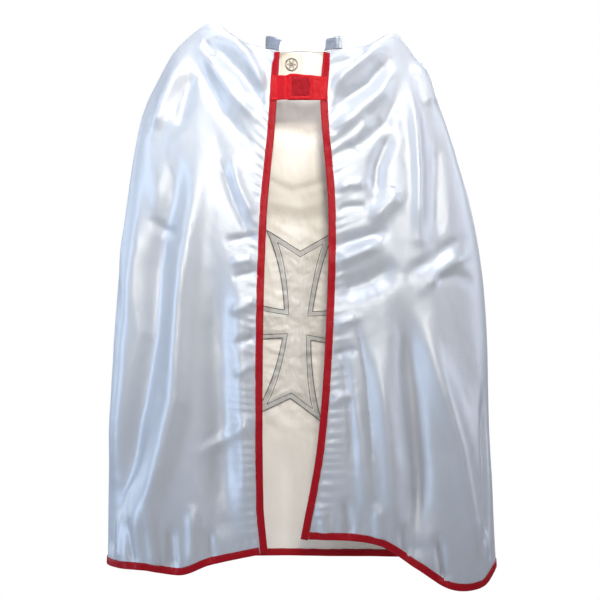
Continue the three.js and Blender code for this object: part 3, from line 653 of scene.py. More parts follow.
# Sewing stitches: short bars of thread that dip into the cloth at both ends, at an even pitch
# along a line of points that have normals.
def stitchRow(line, normals, pitch=3.1, length=2.2, radius=0.22, finish=0):
    run = lineRun(line)
    count = max(int(run[-1] / pitch), 1)
    at = (np.arange(count) + 0.5) * run[-1] / count
    centre, along, normal = (np.stack([np.interp(at, run, values[:, k]) for k in range(3)], -1)
                             for values in (line, tangents(line), normals))
    along = unit(along)
    normal = squareTo(normal, along)
    across = np.cross(along, normal)
    t = np.array([-1, -0.72, 0, 0.72, 1.0])
    girth = np.array([0.05, 0.9, 1, 0.9, 0.05]) * radius
    rise = np.array([-0.55, 0.25, 0.6, 0.25, -0.55]) * radius
    turn = np.arange(6) * math.pi / 3
    rings = (centre[:, None, None] + along[:, None, None] * (t * length / 2)[None, :, None, None]
             + normal[:, None, None] * (rise[:, None] + girth[:, None] * np.sin(turn))[None, ..., None]
             + across[:, None, None] * (girth[:, None] * np.cos(turn))[None, ..., None])
    return tubePatches(rings, finish)


# The same along a line on a face that looks along Y, forwards (-1) or backwards (1).
def faceStitches(line, towards, **options):
    return stitchRow(line, np.broadcast_to([0.0, float(towards), 0.0], line.shape), **options)


# Folded tape over an edge, from the edge line and a line on the cloth one binding's width in.
# Its outer side is rounded and lightly puckered, with a groove where it is sewn.
def tape(edge, inside, seed):
    along = tangents(edge)
    first = squareTo(inside - edge, along)
    second = np.cross(along, first)
    across = np.array([-1.1, -1.02, -0.72, -0.2, 0.8, 2.2, 3.6, 5.0, 6.2, 7.0, 7.5, 8.0, 8.6, 9.0])
    rise = np.array([0, 0.5, 0.84, 1.0, 1.04, 1.03, 1.0, 0.98, 0.94, 0.88, 0.74, 0.88, 0.9, 0.62])
    slot = np.array([-0.12, -0.1, 0, 0.3, 1.2, 2.4, 3.7, 5.0, 6.2, 7.0, 7.5, 8.0, 8.5, 9.0])
    depth = np.minimum(np.arange(14) * 0.4, 1) * binding["inner"] + 0 * edge[:, :1]
    run = lineRun(edge)[:, None]
    swell = np.sin(2 * math.pi * run / 6.3 + 3 * softNoise(run, 0 * run, 17, 9, seed))
    swell = swell * softNoise(run, across * 3 + 0 * run, 14, 13, seed + 1)
    face = binding["outer"] * rise + binding["pucker"] * swell * smoothStep(across, 0, 3)
    wander = 0.28 * softNoise(run, 0 * run, 9, 9, seed + 2) * smoothStep(across, 5, 9)
    outside, inner = (across + wander, face), (slot + wander, depth)
    front, hind = (np.stack([outside[0], side * outside[1]], -1) for side in (1, -1))
    slotA, slotB = (np.stack([inner[0], side * inner[1]], -1) for side in (1, -1))
    patches = [sweep(edge, first, second, front, slotA), sweep(edge, first, second, slotB, hind)]
    for facing in (1, -1):
        line = edge + first * binding["stitchAt"] + second * (facing * binding["outer"] * 0.8)
        patches.append(stitchRow(line, second * facing, finish=1))
    return patches


# Flat pad with round corners and edges between two depths, seen from the front. Its thickness falls
# to nothing at the rim as a quarter round. Its middle depth and its relief are functions of x and z.
def pad(left, right, bottom, top, thickness, middle, relief, corner, columns, rows):
    hw, hh = (right - left) / 2, (top - bottom) / 2
    reach = 0.93 * math.pi / 2   # the grid's lines close up towards the rim, as a sine does
    closing = lambda n: np.sin(np.linspace(-1, 1, n) * reach) / math.sin(reach)
    s, t = np.meshgrid(closing(columns), closing(rows))
    x, z = s * hw, t * hh
    q = np.maximum(np.abs(x) - (hw - corner), 0)
    p = np.maximum(np.abs(z) - (hh - corner), 0)
    far = np.maximum(np.hypot(q, p), 1e-9)
    scale = np.where(far > 1e-6, np.maximum(q, p) / far, 1)
    x = np.sign(x) * np.where(q > 0, hw - corner + q * scale, np.abs(x))
    z = np.sign(z) * np.where(p > 0, hh - corner + p * scale, np.abs(z))
    edge = np.minimum(hw * (1 - np.abs(s)), hh * (1 - np.abs(t)))
    rim = thickness * 0.8
    half = thickness / 2 * np.sqrt(np.clip(1 - (1 - np.clip(edge / rim, 0, 1)) ** 2, 0, 1))
    x, z = x + (left + right) / 2, z + (bottom + top) / 2
    away = np.clip(edge / 2, 0, 1)
    mid = middle(x, z)
    front = np.stack([x, mid - half - relief(x, z) * away, z], -1)
    back = np.stack([x, mid + half, z], -1)
    return [gridPatch(front), gridPatch(back, flip=True)]


# Node of a kind in a tree, with values for its sockets and its options.
def addNode(tree, kind, sockets=(), **options):
    node = tree.nodes.new("ShaderNode" + kind)
    for option, value in options.items():
        setattr(node, option, value)
    for socket, value in dict(sockets).items():
        node.inputs[socket].default_value = value
    return node


# Node group from rows of (name, kind, value) for its inputs and (name, kind) for its outputs.
def addGroup(name, inputs, outputs):
    tree = bpy.data.node_groups.new(name, "ShaderNodeTree")
    for label, kind, value in inputs:
        socket = tree.interface.new_socket(label, in_out="INPUT", socket_type="NodeSocket" + kind)
        if value:
            socket.default_value = value
    for label, kind in outputs:
        tree.interface.new_socket(label, in_out="OUTPUT", socket_type="NodeSocket" + kind)
    return tree, tree.nodes.new("NodeGroupInput"), tree.nodes.new("NodeGroupOutput"), tree.links.new


# Weave of a satin: fine threads along both directions of the piece's own map, with a slight slub.
def weaveGroup():
    tree, start, end, link = addGroup("satinWeave", [("Thread", "Float", 2200.0), ("Slub", "Float", 0.35),
                                                     ("Vector", "Vector", None)], [("Height", "Float")])
    split, total = addNode(tree, "SeparateXYZ"), addNode(tree, "Math", operation="ADD")
    link(start.outputs["Vector"], split.inputs[0])
    for k, (axis, factor) in enumerate([("X", 1.0), ("Y", 0.45)]):
        scaled = addNode(tree, "Math", operation="MULTIPLY")
        turned = addNode(tree, "Math", {1: factor}, operation="MULTIPLY")
        wave = addNode(tree, "Math", operation="SINE")
        link(split.outputs[axis], scaled.inputs[0])
        link(start.outputs["Thread"], scaled.inputs[1])
        link(scaled.outputs[0], turned.inputs[0])
        link(turned.outputs[0], wave.inputs[0])
        link(wave.outputs[0], total.inputs[k])
    slub = addNode(tree, "TexNoise", {"Scale": 260, "Detail": 2})
    mixed = addNode(tree, "Math", operation="MULTIPLY_ADD")
    link(start.outputs["Vector"], slub.inputs["Vector"])
    link(slub.outputs["Fac"], mixed.inputs[0])
    link(start.outputs["Slub"], mixed.inputs[1])
    link(total.outputs[0], mixed.inputs[2])
    link(mixed.outputs[0], end.inputs["Height"])
    return tree


# Crumples of thin cloth: two noises pulled out along slanted directions of the object.
def crumpleGroup():
    tree, start, end, link = addGroup("clothCrumple", [("Size", "Float", 60.0), ("Bend", "Float", 0.6)],
                                      [("Height", "Float")])
    place, total = addNode(tree, "TexCoord"), addNode(tree, "Math", operation="ADD")
    for k, (turn, stretch) in enumerate([(0.5, 0.45), (-0.7, 0.55)]):
        mapping = addNode(tree, "Mapping", {"Rotation": (0, turn, 0), "Scale": (1, 1, stretch)})
        noise = addNode(tree, "TexNoise", {"Detail": 2.5, "Roughness": 0.45})
        link(place.outputs["Object"], mapping.inputs["Vector"])
        link(mapping.outputs[0], noise.inputs["Vector"])
        link(start.outputs["Size"], noise.inputs["Scale"])
        link(start.outputs["Bend"], noise.inputs["Distortion"])
        link(noise.outputs["Fac"], total.inputs[k])
    link(total.outputs[0], end.inputs["Height"])
    return tree


# Uneven dye and handling: a slow noise between the cloth's colour and a shade of it, and a mask.
def tintGroup():
    tree, start, end, link = addGroup("clothTint", [("Colour", "Color", None), ("Shade", "Color", None),
                                                    ("Size", "Float", 14)],
                                      [("Colour", "Color"), ("Mask", "Float")])
    place, noise = addNode(tree, "TexCoord"), addNode(tree, "TexNoise", {"Detail": 5})
    blend = addNode(tree, "Mix", data_type="RGBA")
    link(place.outputs["Object"], noise.inputs["Vector"])
    link(start.outputs["Size"], noise.inputs["Scale"])
    link(noise.outputs["Fac"], blend.inputs["Factor"])
    link(start.outputs["Colour"], blend.inputs["A"])
    link(start.outputs["Shade"], blend.inputs["B"])
    link(blend.outputs["Result"], end.inputs["Colour"])
    link(noise.outputs["Fac"], end.inputs["Mask"])
    return tree


weave, crumple, tint = weaveGroup(), crumpleGroup(), tintGroup()


# A cloth finish: tint into colour, tint's mask into roughness, weave and crumple into the normal.
def clothFinish(name, colour, shade, roughness, sheen=0.3, sheenTint=(1, 1, 1), threads=2200.0,
                weaveDepth=0.00002, crumpleSize=60.0, crumpleDepth=0.001, anisotropic=0.0,
                tintSize=14, gloss=0.5, metal=0.0):
    material = bpy.data.materials.new(name)
    material.use_nodes = True
    tree = material.node_tree
    link, shader = tree.links.new, tree.nodes["Principled BSDF"]
    plain = {"Sheen Weight": sheen, "Sheen Roughness": 0.35, "Sheen Tint": (*sheenTint, 1),
             "Anisotropic": anisotropic, "Specular IOR Level": gloss, "Metallic": metal}
    for socket, value in plain.items():
        shader.inputs[socket].default_value = value
    tinted = addNode(tree, "Group", node_tree=tint)
    tinted.inputs["Colour"].default_value = (*colour, 1)
    tinted.inputs["Shade"].default_value = (*shade, 1)
    tinted.inputs["Size"].default_value = tintSize
    rough = addNode(tree, "MapRange", {"To Min": roughness - 0.05, "To Max": roughness + 0.05})
    own = addNode(tree, "UVMap", uv_map="cloth")
    woven = addNode(tree, "Group", node_tree=weave)
    crumpled = addNode(tree, "Group", node_tree=crumple)
    woven.inputs["Thread"].default_value = threads
    crumpled.inputs["Size"].default_value = crumpleSize
    coarse = addNode(tree, "Bump", {"Distance": crumpleDepth, "Strength": 1})
    fine = addNode(tree, "Bump", {"Distance": weaveDepth, "Strength": 0.5})
    link(tinted.outputs["Colour"], shader.inputs["Base Color"])
    link(tinted.outputs["Mask"], rough.inputs["Value"])
    link(rough.outputs["Result"], shader.inputs["Roughness"])
    link(own.outputs["UV"], woven.inputs["Vector"])
    link(crumpled.outputs["Height"], coarse.inputs["Height"])
    link(woven.outputs["Height"], fine.inputs["Height"])
    link(coarse.outputs["Normal"], fine.inputs["Normal"])
    link(fine.outputs["Normal"], shader.inputs["Normal"])
    return material


finishes = {
    "satin": clothFinish("whiteSatin", (0.60, 0.62, 0.67), (0.55, 0.58, 0.65), 0.46, sheen=0.1,
                         crumpleSize=26, crumpleDepth=0.0006, anisotropic=0.3, gloss=0.8, metal=0.22),
    # The neckband's outside is the cape's own white satin, painted a darker grey-blue as painted shade.
    "bandPaintedShade": clothFinish("neckbandSatinPaintedShade", (0.30, 0.33, 0.40), (0.24, 0.27, 0.34), 0.43, sheen=0.1,
                             crumpleSize=110, crumpleDepth=0.0012, gloss=0.6, metal=0.1),
    # Inside face of the satin: partly its own duller, creamier reverse, partly painted light, made
    # brighter and warmer than the outside for light that shines through the cloth.
    "reverseWithPaintedLight": clothFinish("satinInsideWithPaintedLight", (0.95, 0.91, 0.85), (0.92, 0.87, 0.81), 0.5, sheen=0.3,
                          crumpleSize=45, crumpleDepth=0.0016),
    # The binding is the same red satin as the tabs, painted darker as painted shade for its dimmer lower
    # reaches.
    "binding": clothFinish("redBindingPaintedShade", (0.42, 0.007, 0.016), (0.34, 0.005, 0.013), 0.42, sheen=0.0,
                           sheenTint=(1, 0.2, 0.2), crumpleSize=160, crumpleDepth=0.0006, gloss=0.14),
    "tab": clothFinish("redTab", (0.62, 0.008, 0.016), (0.47, 0.006, 0.013), 0.44, sheen=0.0,
                       sheenTint=(1, 0.2, 0.2), crumpleSize=130, crumpleDepth=0.0012, tintSize=60,
                       gloss=0.12),
    "tabSquare": clothFinish("redTabSquare", (0.46, 0.006, 0.014), (0.24, 0.004, 0.010), 0.5, sheen=0.0,
                             sheenTint=(1, 0.2, 0.2), crumpleSize=330, crumpleDepth=0.0016, tintSize=190,
                             gloss=0.12),
    "redThread": clothFinish("redThread", (0.50, 0.012, 0.022), (0.38, 0.01, 0.02), 0.42,
                             crumpleSize=900, crumpleDepth=0.0001),
    "paleThread": clothFinish("paleThread", (0.62, 0.60, 0.56), (0.5, 0.48, 0.46), 0.5,
                              crumpleSize=900, crumpleDepth=0.0001),
    "hook": clothFinish("hookTape", (0.25, 0.01, 0.015), (0.18, 0.006, 0.01), 0.6, sheen=0.1,
                        crumpleSize=800, crumpleDepth=0.0003),
    "loop": clothFinish("loopTape", (0.34, 0.012, 0.02), (0.24, 0.008, 0.014), 0.95, sheen=0.7,
                        sheenTint=(1, 0.5, 0.5), crumpleSize=700, crumpleDepth=0.0008),
    "label": clothFinish("labelCotton", (0.86, 0.79, 0.70), (0.80, 0.72, 0.62), 0.7, sheen=0.2,
                         crumpleSize=120, crumpleDepth=0.0006),
    "crossLining": clothFinish("crossLining", (0.80, 0.77, 0.72), (0.73, 0.70, 0.66), 0.48, sheen=0.3,
                               crumpleSize=95, crumpleDepth=0.0014),
    "crossBand": clothFinish("crossBand", (0.62, 0.60, 0.58), (0.53, 0.52, 0.51), 0.5, sheen=0.2,
                             threads=5200, crumpleSize=260, crumpleDepth=0.0005),
    "crossLine": clothFinish("crossLine", (0.09, 0.09, 0.10), (0.06, 0.06, 0.07), 0.55, sheen=0.1,
                             crumpleSize=600, crumpleDepth=0.0003),
    "crossRed": clothFinish("crossRed", (0.66, 0.02, 0.035), (0.52, 0.012, 0.028), 0.33, sheen=0.3,
                            sheenTint=(1, 0.4, 0.4), crumpleSize=60, crumpleDepth=0.0014),
    "silver": clothFinish("silverThread", (0.55, 0.56, 0.58), (0.42, 0.43, 0.46), 0.38, sheen=0.2,
                          threads=6500, weaveDepth=0.0001, crumpleSize=260, crumpleDepth=0.0003),
}
print("finishes made")


fronts = {
    "left": frontCloth(sides["left"], leftFolds, 11),
    "right": frontCloth(sides["right"], rightFolds, 23),
}
rear = backCloth()


# Works out a flap's slanted fold and which side of it is inwards, which nothing uses, and bakes the
# object's placement into its mesh.
def bendAt(obj, name):
    side = sides[name]
    top, bottom = np.array(side["foldTop"], float), np.array(side["foldBottom"], float)
    down = (bottom - top) / np.linalg.norm(bottom - top)
    inward = np.array([-down[1], down[0]])
    inward *= -side["sign"] * np.sign(inward[0])
    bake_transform(obj)


# Area of a grid in square metres.
def gridArea(p):
    d1 = p[1:, 1:] - p[:-1, :-1]
    d2 = p[1:, :-1] - p[:-1, 1:]
    return np.linalg.norm(np.cross(d1, d2), axis=-1).sum() / 2e6


frontPieces = {}
for name, p in fronts.items():
    piece = makeMesh(f"front_{name}_cloth", [gridPatch(p, flip=name != "left")],
                     ["satin", "reverseWithPaintedLight"], lined=True)
    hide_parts(f"front_{name}_side", f"front_{name}_flap")
    frontPieces[name] = piece
    print("front", name, "area", round(gridArea(p), 4))

backPiece = makeMesh("back_cloth", [gridPatch(rear)], ["satin", "reverseWithPaintedLight"], lined=True)
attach(backPiece, "cape")
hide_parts("back_panel")
print("back area", round(gridArea(rear), 4))


k = cloth["tapeColumns"]
for name, p in fronts.items():
    edge, inside = p[:, 0].copy(), p[:, k].copy()
    onward = tangents(edge)[-1] * binding["reach"]
    edge[-1] += onward
    inside[-1] += onward
    made = makeMesh(f"edge_binding_{name}", tape(edge, inside, 81 if name == "left" else 85),
                    ["binding", "redThread"], weld=True, turnOut=True)
    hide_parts(f"edge_binding_{name}_upper", f"edge_binding_{name}_lower")
    hem = makeMesh(f"hem_binding_{name}", tape(p[-1, k:], p[-1 - k, k:], 89 if name == "left" else 93),
                   ["binding", "redThread"], weld=True, turnOut=True)
    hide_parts(f"hem_binding_{name}_side", f"hem_binding_{name}_front")
    for piece in (frontPieces[name], made, hem):
        bendAt(piece, name)

backHem = makeMesh("hem_binding_rear", tape(rear[-1], rear[-1 - k], 97),
                   ["binding", "redThread"], weld=True, turnOut=True)
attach(backHem, "cape")
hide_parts("hem_binding_back")
print("bindings made")


neckband = {
    "thickness": 1.8, "front": 18, "back": 12, "lift": 1.0, "groove": 3.2, "ripple": 0.7,
    "lean": 8, "curl": 26,   # how far the front ends lean towards +X, and over what length
}


# The band stands on the neck seam, from one front edge round the back to the other: a rounded,
# upright section whose height falls from front to back, with soft ripples and a sewn groove.
def neckbandPatches():
    u = np.linspace(0, 1, 70)
    seam = np.vstack([
        frontPoint(sides["left"], u, 0 * u), backPoint(np.linspace(-1, 1, 121)[1:-1], np.zeros(119)),
        frontPoint(sides["right"], u[::-1], 0 * u),
    ])
    along = tangents(seam * [1, 1, 0])
    outward = np.stack([along[:, 1], -along[:, 0], 0 * along[:, 0]], -1)
    outward *= np.sign(np.sum(outward * (seam * [1, 1, 0]), 1, keepdims=True))
    upward = np.broadcast_to([0.0, 0.0, 1.0], seam.shape)
    high = mix(neckband["front"], neckband["back"], smoothStep(seam[:, 1], 0, body["neckDepth"]))[:, None]
    t = np.linspace(0, 1, 15)[None]
    run = lineRun(seam)[:, None]
    half = neckband["thickness"] / 2 * (1 - np.abs(2 * t - 1) ** 5) ** 0.5
    half = half * (1 - 0.35 * np.exp(-((t * high - neckband["groove"]) / 0.8) ** 2))
    fromEnd = np.minimum(run, run[-1] - run)
    lean = neckband["lean"] * np.exp(-(fromEnd / neckband["curl"]) ** 2) * t ** 1.4
    sway = softNoise(run, t * 9, 13, 9, 101) + 0.5 * softNoise(run, t * 9, 6, 5, 102)
    sway = neckband["ripple"] * sway * t + lean * outward[:, :1]
    z = neckband["lift"] + t * (high + 0.5 * softNoise(run, 0 * run, 16, 9, 103)) - 0.25 * lean
    faces = (np.stack([sway + half, z], -1), np.stack([sway - half, z], -1))
    upright = sweep(seam, outward, upward, *faces)
    # The outside faces take the darker band finish, a painted shade; the inside faces keep the cream one.
    around = 2 * t.size
    column = np.arange((len(seam) - 1) * around) % around
    outside = (column < t.size - 1) | (column == around - 1)
    upright["finish"][:len(column)] = np.where(outside, 2, 0)
    line = (seam + outward * (neckband["thickness"] / 2 * 0.75)
            + upward * (neckband["lift"] + neckband["groove"]))
    return [upright, stitchRow(line, outward, pitch=3.0, length=2.0, radius=0.16, finish=1)]


band = makeMesh("neckband_cloth", neckbandPatches(), ["reverseWithPaintedLight", "paleThread", "bandPaintedShade"],
                weld=True, turnOut=True)
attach(band, "cape")
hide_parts("neckband")


tabs = {
    "top": -32, "bottom": -66, "thickness": 1.2, "rightTop": -29, "reach": 17, "rightReach": -17,
    "leftStart": -39.5, "rampStart": -31.8, "rampEnd": -20.3, "rightEnd": 36.7,
    "farFront": -50.086, "nearFront": -55.286, "square": 28, "squareRight": 15, "seam": 1.6,
}
squareBox = (tabs["squareRight"] - tabs["square"], tabs["squareRight"], -63.0, -35.0)


# Signed distance to the stitched rectangle of the square: negative inside it.
def squareGap(x, z):
    left, right, bottom, top = squareBox
    qx = np.abs(x - (left + right) / 2) - (right - left) / 2 + tabs["seam"]
    qz = np.abs(z - (bottom + top) / 2) - (top - bottom) / 2 + tabs["seam"]
    return np.hypot(np.maximum(qx, 0), np.maximum(qz, 0)) + np.minimum(np.maximum(qx, qz), 0)


# Relief of a tab: sewn lines pressed in, a mottled square and soft puckers elsewhere.
def tabRelief(x, z):
    gap = squareGap(x, z)
    inside = 1 - smoothStep(gap, -0.6, 0.6)
    relief = -0.34 * np.exp(-(gap / 0.7) ** 2)
    relief += inside * (0.22 * softNoise(x, z, 2.1, 2.6, 111) - 0.12)
    relief += (1 - inside) * 0.34 * softNoise(x + 0.3 * z, z, 4, 9, 112)
    for rim in (tabs["bottom"] + 1.3, tabs["top"] - 1.3):
        relief += 0.3 * np.exp(-((z - rim) / 0.9) ** 2)
    return relief


# The end of the under tab presses through the upper one as a step with a groove along it.
def overRelief(x, z):
    pressed = 0.5 * np.exp(-((x - tabs["rightReach"] + 0.6) / 0.8) ** 2)
    return tabRelief(x, z) - pressed + 0.35 * smoothStep(x, tabs["rightReach"], tabs["rightReach"] + 4)


# Slants the top of a tab: its upper part is raised by rise(x), less and less towards the middle.
def slantTop(patches, rise):
    for patch in patches:
        x, z = patch["points"][:, 0], patch["points"][:, 2]
        patch["points"][:, 2] = z + rise(x) * smoothStep(z, -52, tabs["top"])
    return patches


def overRise(x):
    return 2.6 * smoothStep(x, -19, -13) * (1 - smoothStep(x, -10, 16)) - 1.2 * smoothStep(x, -32, -20)


def underRise(x):
    return -2.6 - 2.4 * smoothStep(x, 10, 34)


def leftMiddle(x, z):
    front = mix(tabs["farFront"], tabs["nearFront"], smoothStep(x, tabs["rampStart"], tabs["rampEnd"]))
    return front + tabs["thickness"] / 2 + 0 * z


def rightMiddle(x, z):
    return tabs["farFront"] + tabs["thickness"] / 2 + 0 * x + 0 * z


# Gives the faces of a pad that lie inside the sewn square the second finish.
def markSquare(patch):
    centre = patch["points"][patch["quads"]].mean(1)
    patch["finish"] = np.where(squareGap(centre[:, 0], centre[:, 2]) < 0, 1, patch["finish"])
    return patch


# Stitches along a path on the face of a tab, sunk a little into it.
def tabRow(path, middle, towards, sink, **options):
    x, z = evenPoints(path, 0.8, more=2)
    y = middle(x, z) + towards * (tabs["thickness"] / 2 - sink)
    return faceStitches(np.stack([x, y, z], -1), towards, finish=2, **options)


# The sewn square on both faces, then the seams across the sewn end and along both edges.
def tabStitches(middle, sewnX, top, bottom):
    left, right, low, high = squareBox
    rows = []
    for towards in (-1, 1):
        for inset, sink, length, radius in ((tabs["seam"], 0.15, 1.9, 0.2), (3.4, 0.12, 1.8, 0.16)):
            a, b, c, d = left + inset, right - inset, low + inset, high - inset
            box = [(a, c), (b, c), (b, d), (a, d), (a, c)]
            rows.append(tabRow(box, middle, towards, sink, pitch=2.6, length=length, radius=radius))
    for x in sewnX:
        rows.append(tabRow([(x, bottom + 1.5), (x, top - 1.5)], middle, -1, 0.12,
                           pitch=2.8, length=2.0, radius=0.2))
    end = left if middle is leftMiddle else right
    for z in (top - 1.7, bottom + 1.7):
        rows.append(tabRow([(min(sewnX) + 1, z), (end, z)], middle, -1, 0.12,
                           pitch=2.8, length=2.0, radius=0.18))
    return rows


# A tab: its pad with the marked square, its stitches, and its slanted top.
def tabPatches(start, end, top, middle, relief, sewnX, rise):
    sheet = pad(start, end, tabs["bottom"], top, tabs["thickness"], middle, relief, 2, 150, 80)
    sheet = [markSquare(patch) for patch in sheet]
    return slantTop(sheet + tabStitches(middle, sewnX, top, tabs["bottom"]), rise)


tabLooks = ["tab", "tabSquare", "redThread"]
leftTab = tabPatches(tabs["leftStart"], tabs["reach"], tabs["top"], leftMiddle, overRelief,
                     (-37.8, -33.2), overRise)
leftTabPiece = makeMesh("closure_tab_over", leftTab, tabLooks, weld=True, turnOut=True)
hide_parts("closure_tab_left_end", "closure_tab_left")
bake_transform(leftTabPiece)

rightTab = tabPatches(tabs["rightReach"], tabs["rightEnd"], tabs["rightTop"], rightMiddle, tabRelief,
                      (34.8, 30.4), underRise)
rightTabPiece = makeMesh("closure_tab_under", rightTab, tabLooks, weld=True, turnOut=True)
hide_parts("closure_tab_right_end", "closure_tab_right")
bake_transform(rightTabPiece)


# Stubs of hook tape: short cones in rows, each bent over at its tip.
def hookStubs(baseY, height, pitch=1.9, margin=1.6):
    left, right, bottom, top = squareBox
    x, z = np.meshgrid(np.arange(left + margin, right - 1.2, pitch),
                       np.arange(bottom + margin, top - 1.2, pitch))
    x = (x + 0.5 * pitch * (np.arange(x.shape[0]) % 2)[:, None]).reshape(-1, 1, 1)
    z = z.reshape(-1, 1, 1)
    t = np.array([0, 0.5, 0.85, 1.0])[:, None]
    girth = np.array([0.34, 0.26, 0.2, 0.04])[:, None]
    bend = np.array([0, 0.05, 0.3, 0.62])[:, None]
    turn = np.arange(5) * 2 * math.pi / 5
    rings = (x + girth * np.cos(turn), baseY + height * t, z + girth * np.sin(turn) - bend)
    return tubePatches(np.stack(np.broadcast_arrays(*rings), -1))


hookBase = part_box("hook_square")[0][1] * 1000 + 0.45
hookPad = pad(*squareBox, 0.9, lambda x, z: hookBase + 0 * x, lambda x, z: 0 * x, 1.5, 40, 40)
hookPiece = makeMesh("hook_tape_square", hookPad + [hookStubs(hookBase + 0.4, 0.75)], ["hook"],
                     weld=True, turnOut=True)
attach(hookPiece, "left_tab")
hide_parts("hook_square")

loopLow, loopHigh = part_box("loop_square")
loopMiddle = (loopLow[1] + loopHigh[1]) * 500
loopPad = pad(*squareBox, 1.3, lambda x, z: loopMiddle + 0 * x,
              lambda x, z: 0.16 * softNoise(x, z, 0.9, 0.9, 131), 1.5, 80, 80)
loopPiece = makeMesh("loop_tape_square", loopPad, ["loop"], weld=True, turnOut=True)
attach(loopPiece, "right_tab")
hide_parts("loop_square")
print("closure made")


# Point of the undisturbed back at x and z, found by closing in on its two shares.
def backAt(x, z):
    w = np.where(x < 0, -0.1, 0.1)
    v = (body["neckBackRise"] - z) / (body["length"] + body["neckBackRise"])
    for _ in range(40):
        here = backPoint(w, v)
        w = np.sign(w) * np.clip(np.abs(w) * np.abs(x) / np.maximum(np.abs(here[..., 0]), 1e-6), 0, 1)
        v = np.clip(v + (here[..., 2] - z) / body["length"], 0, 1)
    return backPoint(w, v), v


label = {"x": -12, "width": 32, "height": 31, "top": 12.5, "gap": 1.5, "ring": 9.0, "petals": 6}


# Depth of the label's face at x and z: the back, less a small gap, with a curl at its foot.
def labelFace(x, z):
    at, v = backAt(x, z)
    share = (label["top"] - z) / label["height"]
    curl = 0.5 * smoothStep(share, 0.7, 1) + 0.25 * softNoise(x, z, 11, 12, 141)
    return at[..., 1] - label["gap"] - curl


def labelGrid():
    x = label["x"] + np.linspace(-0.5, 0.5, 49)[None] * label["width"] + np.zeros((47, 1))
    z = label["top"] - np.linspace(0, 1, 47)[:, None] * label["height"] + np.zeros((1, 49))
    return np.stack([x, labelFace(x, z), z], -1)


# Stitches on the label along a path of (x, z).
def labelStitches(path, **options):
    x, z = evenPoints(path, 0.5, least=8)
    return faceStitches(np.stack([x, labelFace(x, z) - 0.28, z], -1), -1, **options)


# The hem of the label, and a rosette of petals in a double ring.
def labelPatches(hem=1.8):
    cx, cz = label["x"], label["top"] - label["height"] / 2
    x0, x1 = cx - label["width"] / 2 + hem, cx + label["width"] / 2 - hem
    z0, z1 = label["top"] - label["height"] + hem, label["top"] - hem
    rows = [labelStitches([(x0, z0), (x1, z0), (x1, z1), (x0, z1), (x0, z0)],
                          pitch=2.4, length=1.6, radius=0.2, finish=1)]
    a = np.linspace(0, 2 * math.pi, 121)
    rosette = (label["ring"] - 3.0) * (0.55 + 0.45 * np.cos(label["petals"] * a))
    ring = (1.1, 1.3, 0.38)
    for reach, (pitch, length, radius) in ((label["ring"], ring), (label["ring"] - 1.3, ring),
                                           (rosette, (0.9, 1.1, 0.3))):
        rows.append(labelStitches(np.stack([cx + reach * np.cos(a), cz + reach * np.sin(a)], -1),
                                  pitch=pitch, length=length, radius=radius, finish=2))
    return rows


labelPiece = makeMesh("neck_label_cloth", [gridPatch(labelGrid())] + labelPatches(),
                      ["label", "paleThread", "crossLine"])
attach(labelPiece, "cape")
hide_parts("neck_label")


# Depth of the back with its folds.
def clothDepth(x, z):
    at, v = backAt(x, z)
    return at[..., 1] + backHeight(x, z) * smoothStep(v, 0, 0.05)


# The cross on one face of the back: grids laid at an offset from the cloth, raised by a rolled
# edge, and marked with the distance to the outline.
def crossPatches(inset, offset, towards, crown, seed):
    patches = []
    for grid in crossGrids(inset):
        x, z = crossPlace(grid[..., 0], grid[..., 1])
        gap, _ = outlineDistance(grid[..., 0], grid[..., 1])
        swell = np.sqrt(np.clip(1 - (1 - np.clip((gap - inset) / 0.9, 0, 1)) ** 2, 0, 1))
        swell = cross["thickness"] * swell + crown * softNoise(x, z, 6, 6, seed) * smoothStep(gap, 8, 12)
        y = clothDepth(x, z) + towards * (offset + swell)
        patch = gridPatch(np.stack([x, y, z], -1), flip=towards > 0)
        patch["gap"] = gap.ravel()
        patches.append(patch)
    return patches


# Line that follows the outline of the cross, set in by "inset", on one face of the back.
def outlineLine(inset, offset, towards):
    x, z = crossPlace(*evenPoints(crossOutline(inset, 30), 1.2))
    return np.stack([x, clothDepth(x, z) + towards * offset, z], -1)


# A flat cord of close stitching along an outline: a low round section, wider than it is high.
def cordPatch(line, towards, width, height, seed, finish=0, around=10):
    along = tangents(line)
    along[0] = along[-1] = unit(along[1] + along[-2])
    second = np.broadcast_to([0.0, float(towards), 0.0], line.shape)
    first = unit(np.cross(along, second))
    a = np.linspace(0, 2 * math.pi, around, endpoint=False)
    run = lineRun(line)[:, None]
    wide = width / 2 * (1 + 0.12 * softNoise(run, 0 * run, 2.5, 9, seed))
    points = line[:, None] + first[:, None] * (wide * np.cos(a))[..., None]
    points = points + second[:, None] * (height / 2 * np.sin(a))[None, :, None]
    return gridPatch(points, around=True, finish=finish)


inner = crossPatches(0.0, 0.75, -1, 0.5, 151)
for patch in inner:
    gap = patch["gap"][patch["quads"]].mean(1)
    patch["finish"] = np.where((gap > 0) & (gap < cross["band"]), 1, 0)
inner.append(cordPatch(outlineLine(0.9, 1.35, -1), -1, 1.1, 0.8, 153, finish=2))
inner.append(cordPatch(outlineLine(7.6, 1.55, -1), -1, 0.9, 0.8, 154, finish=2))
for inset in (10.5, 13.5):
    inner.append(faceStitches(outlineLine(inset, 1.5, -1), -1, pitch=2.4, length=1.5, radius=0.22,
                              finish=3))
innerPiece = makeMesh("cross_inside", inner, ["crossLining", "crossBand", "crossLine", "paleThread"],
                      weld=True)
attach(innerPiece, "cape")
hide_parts("cross_backing")

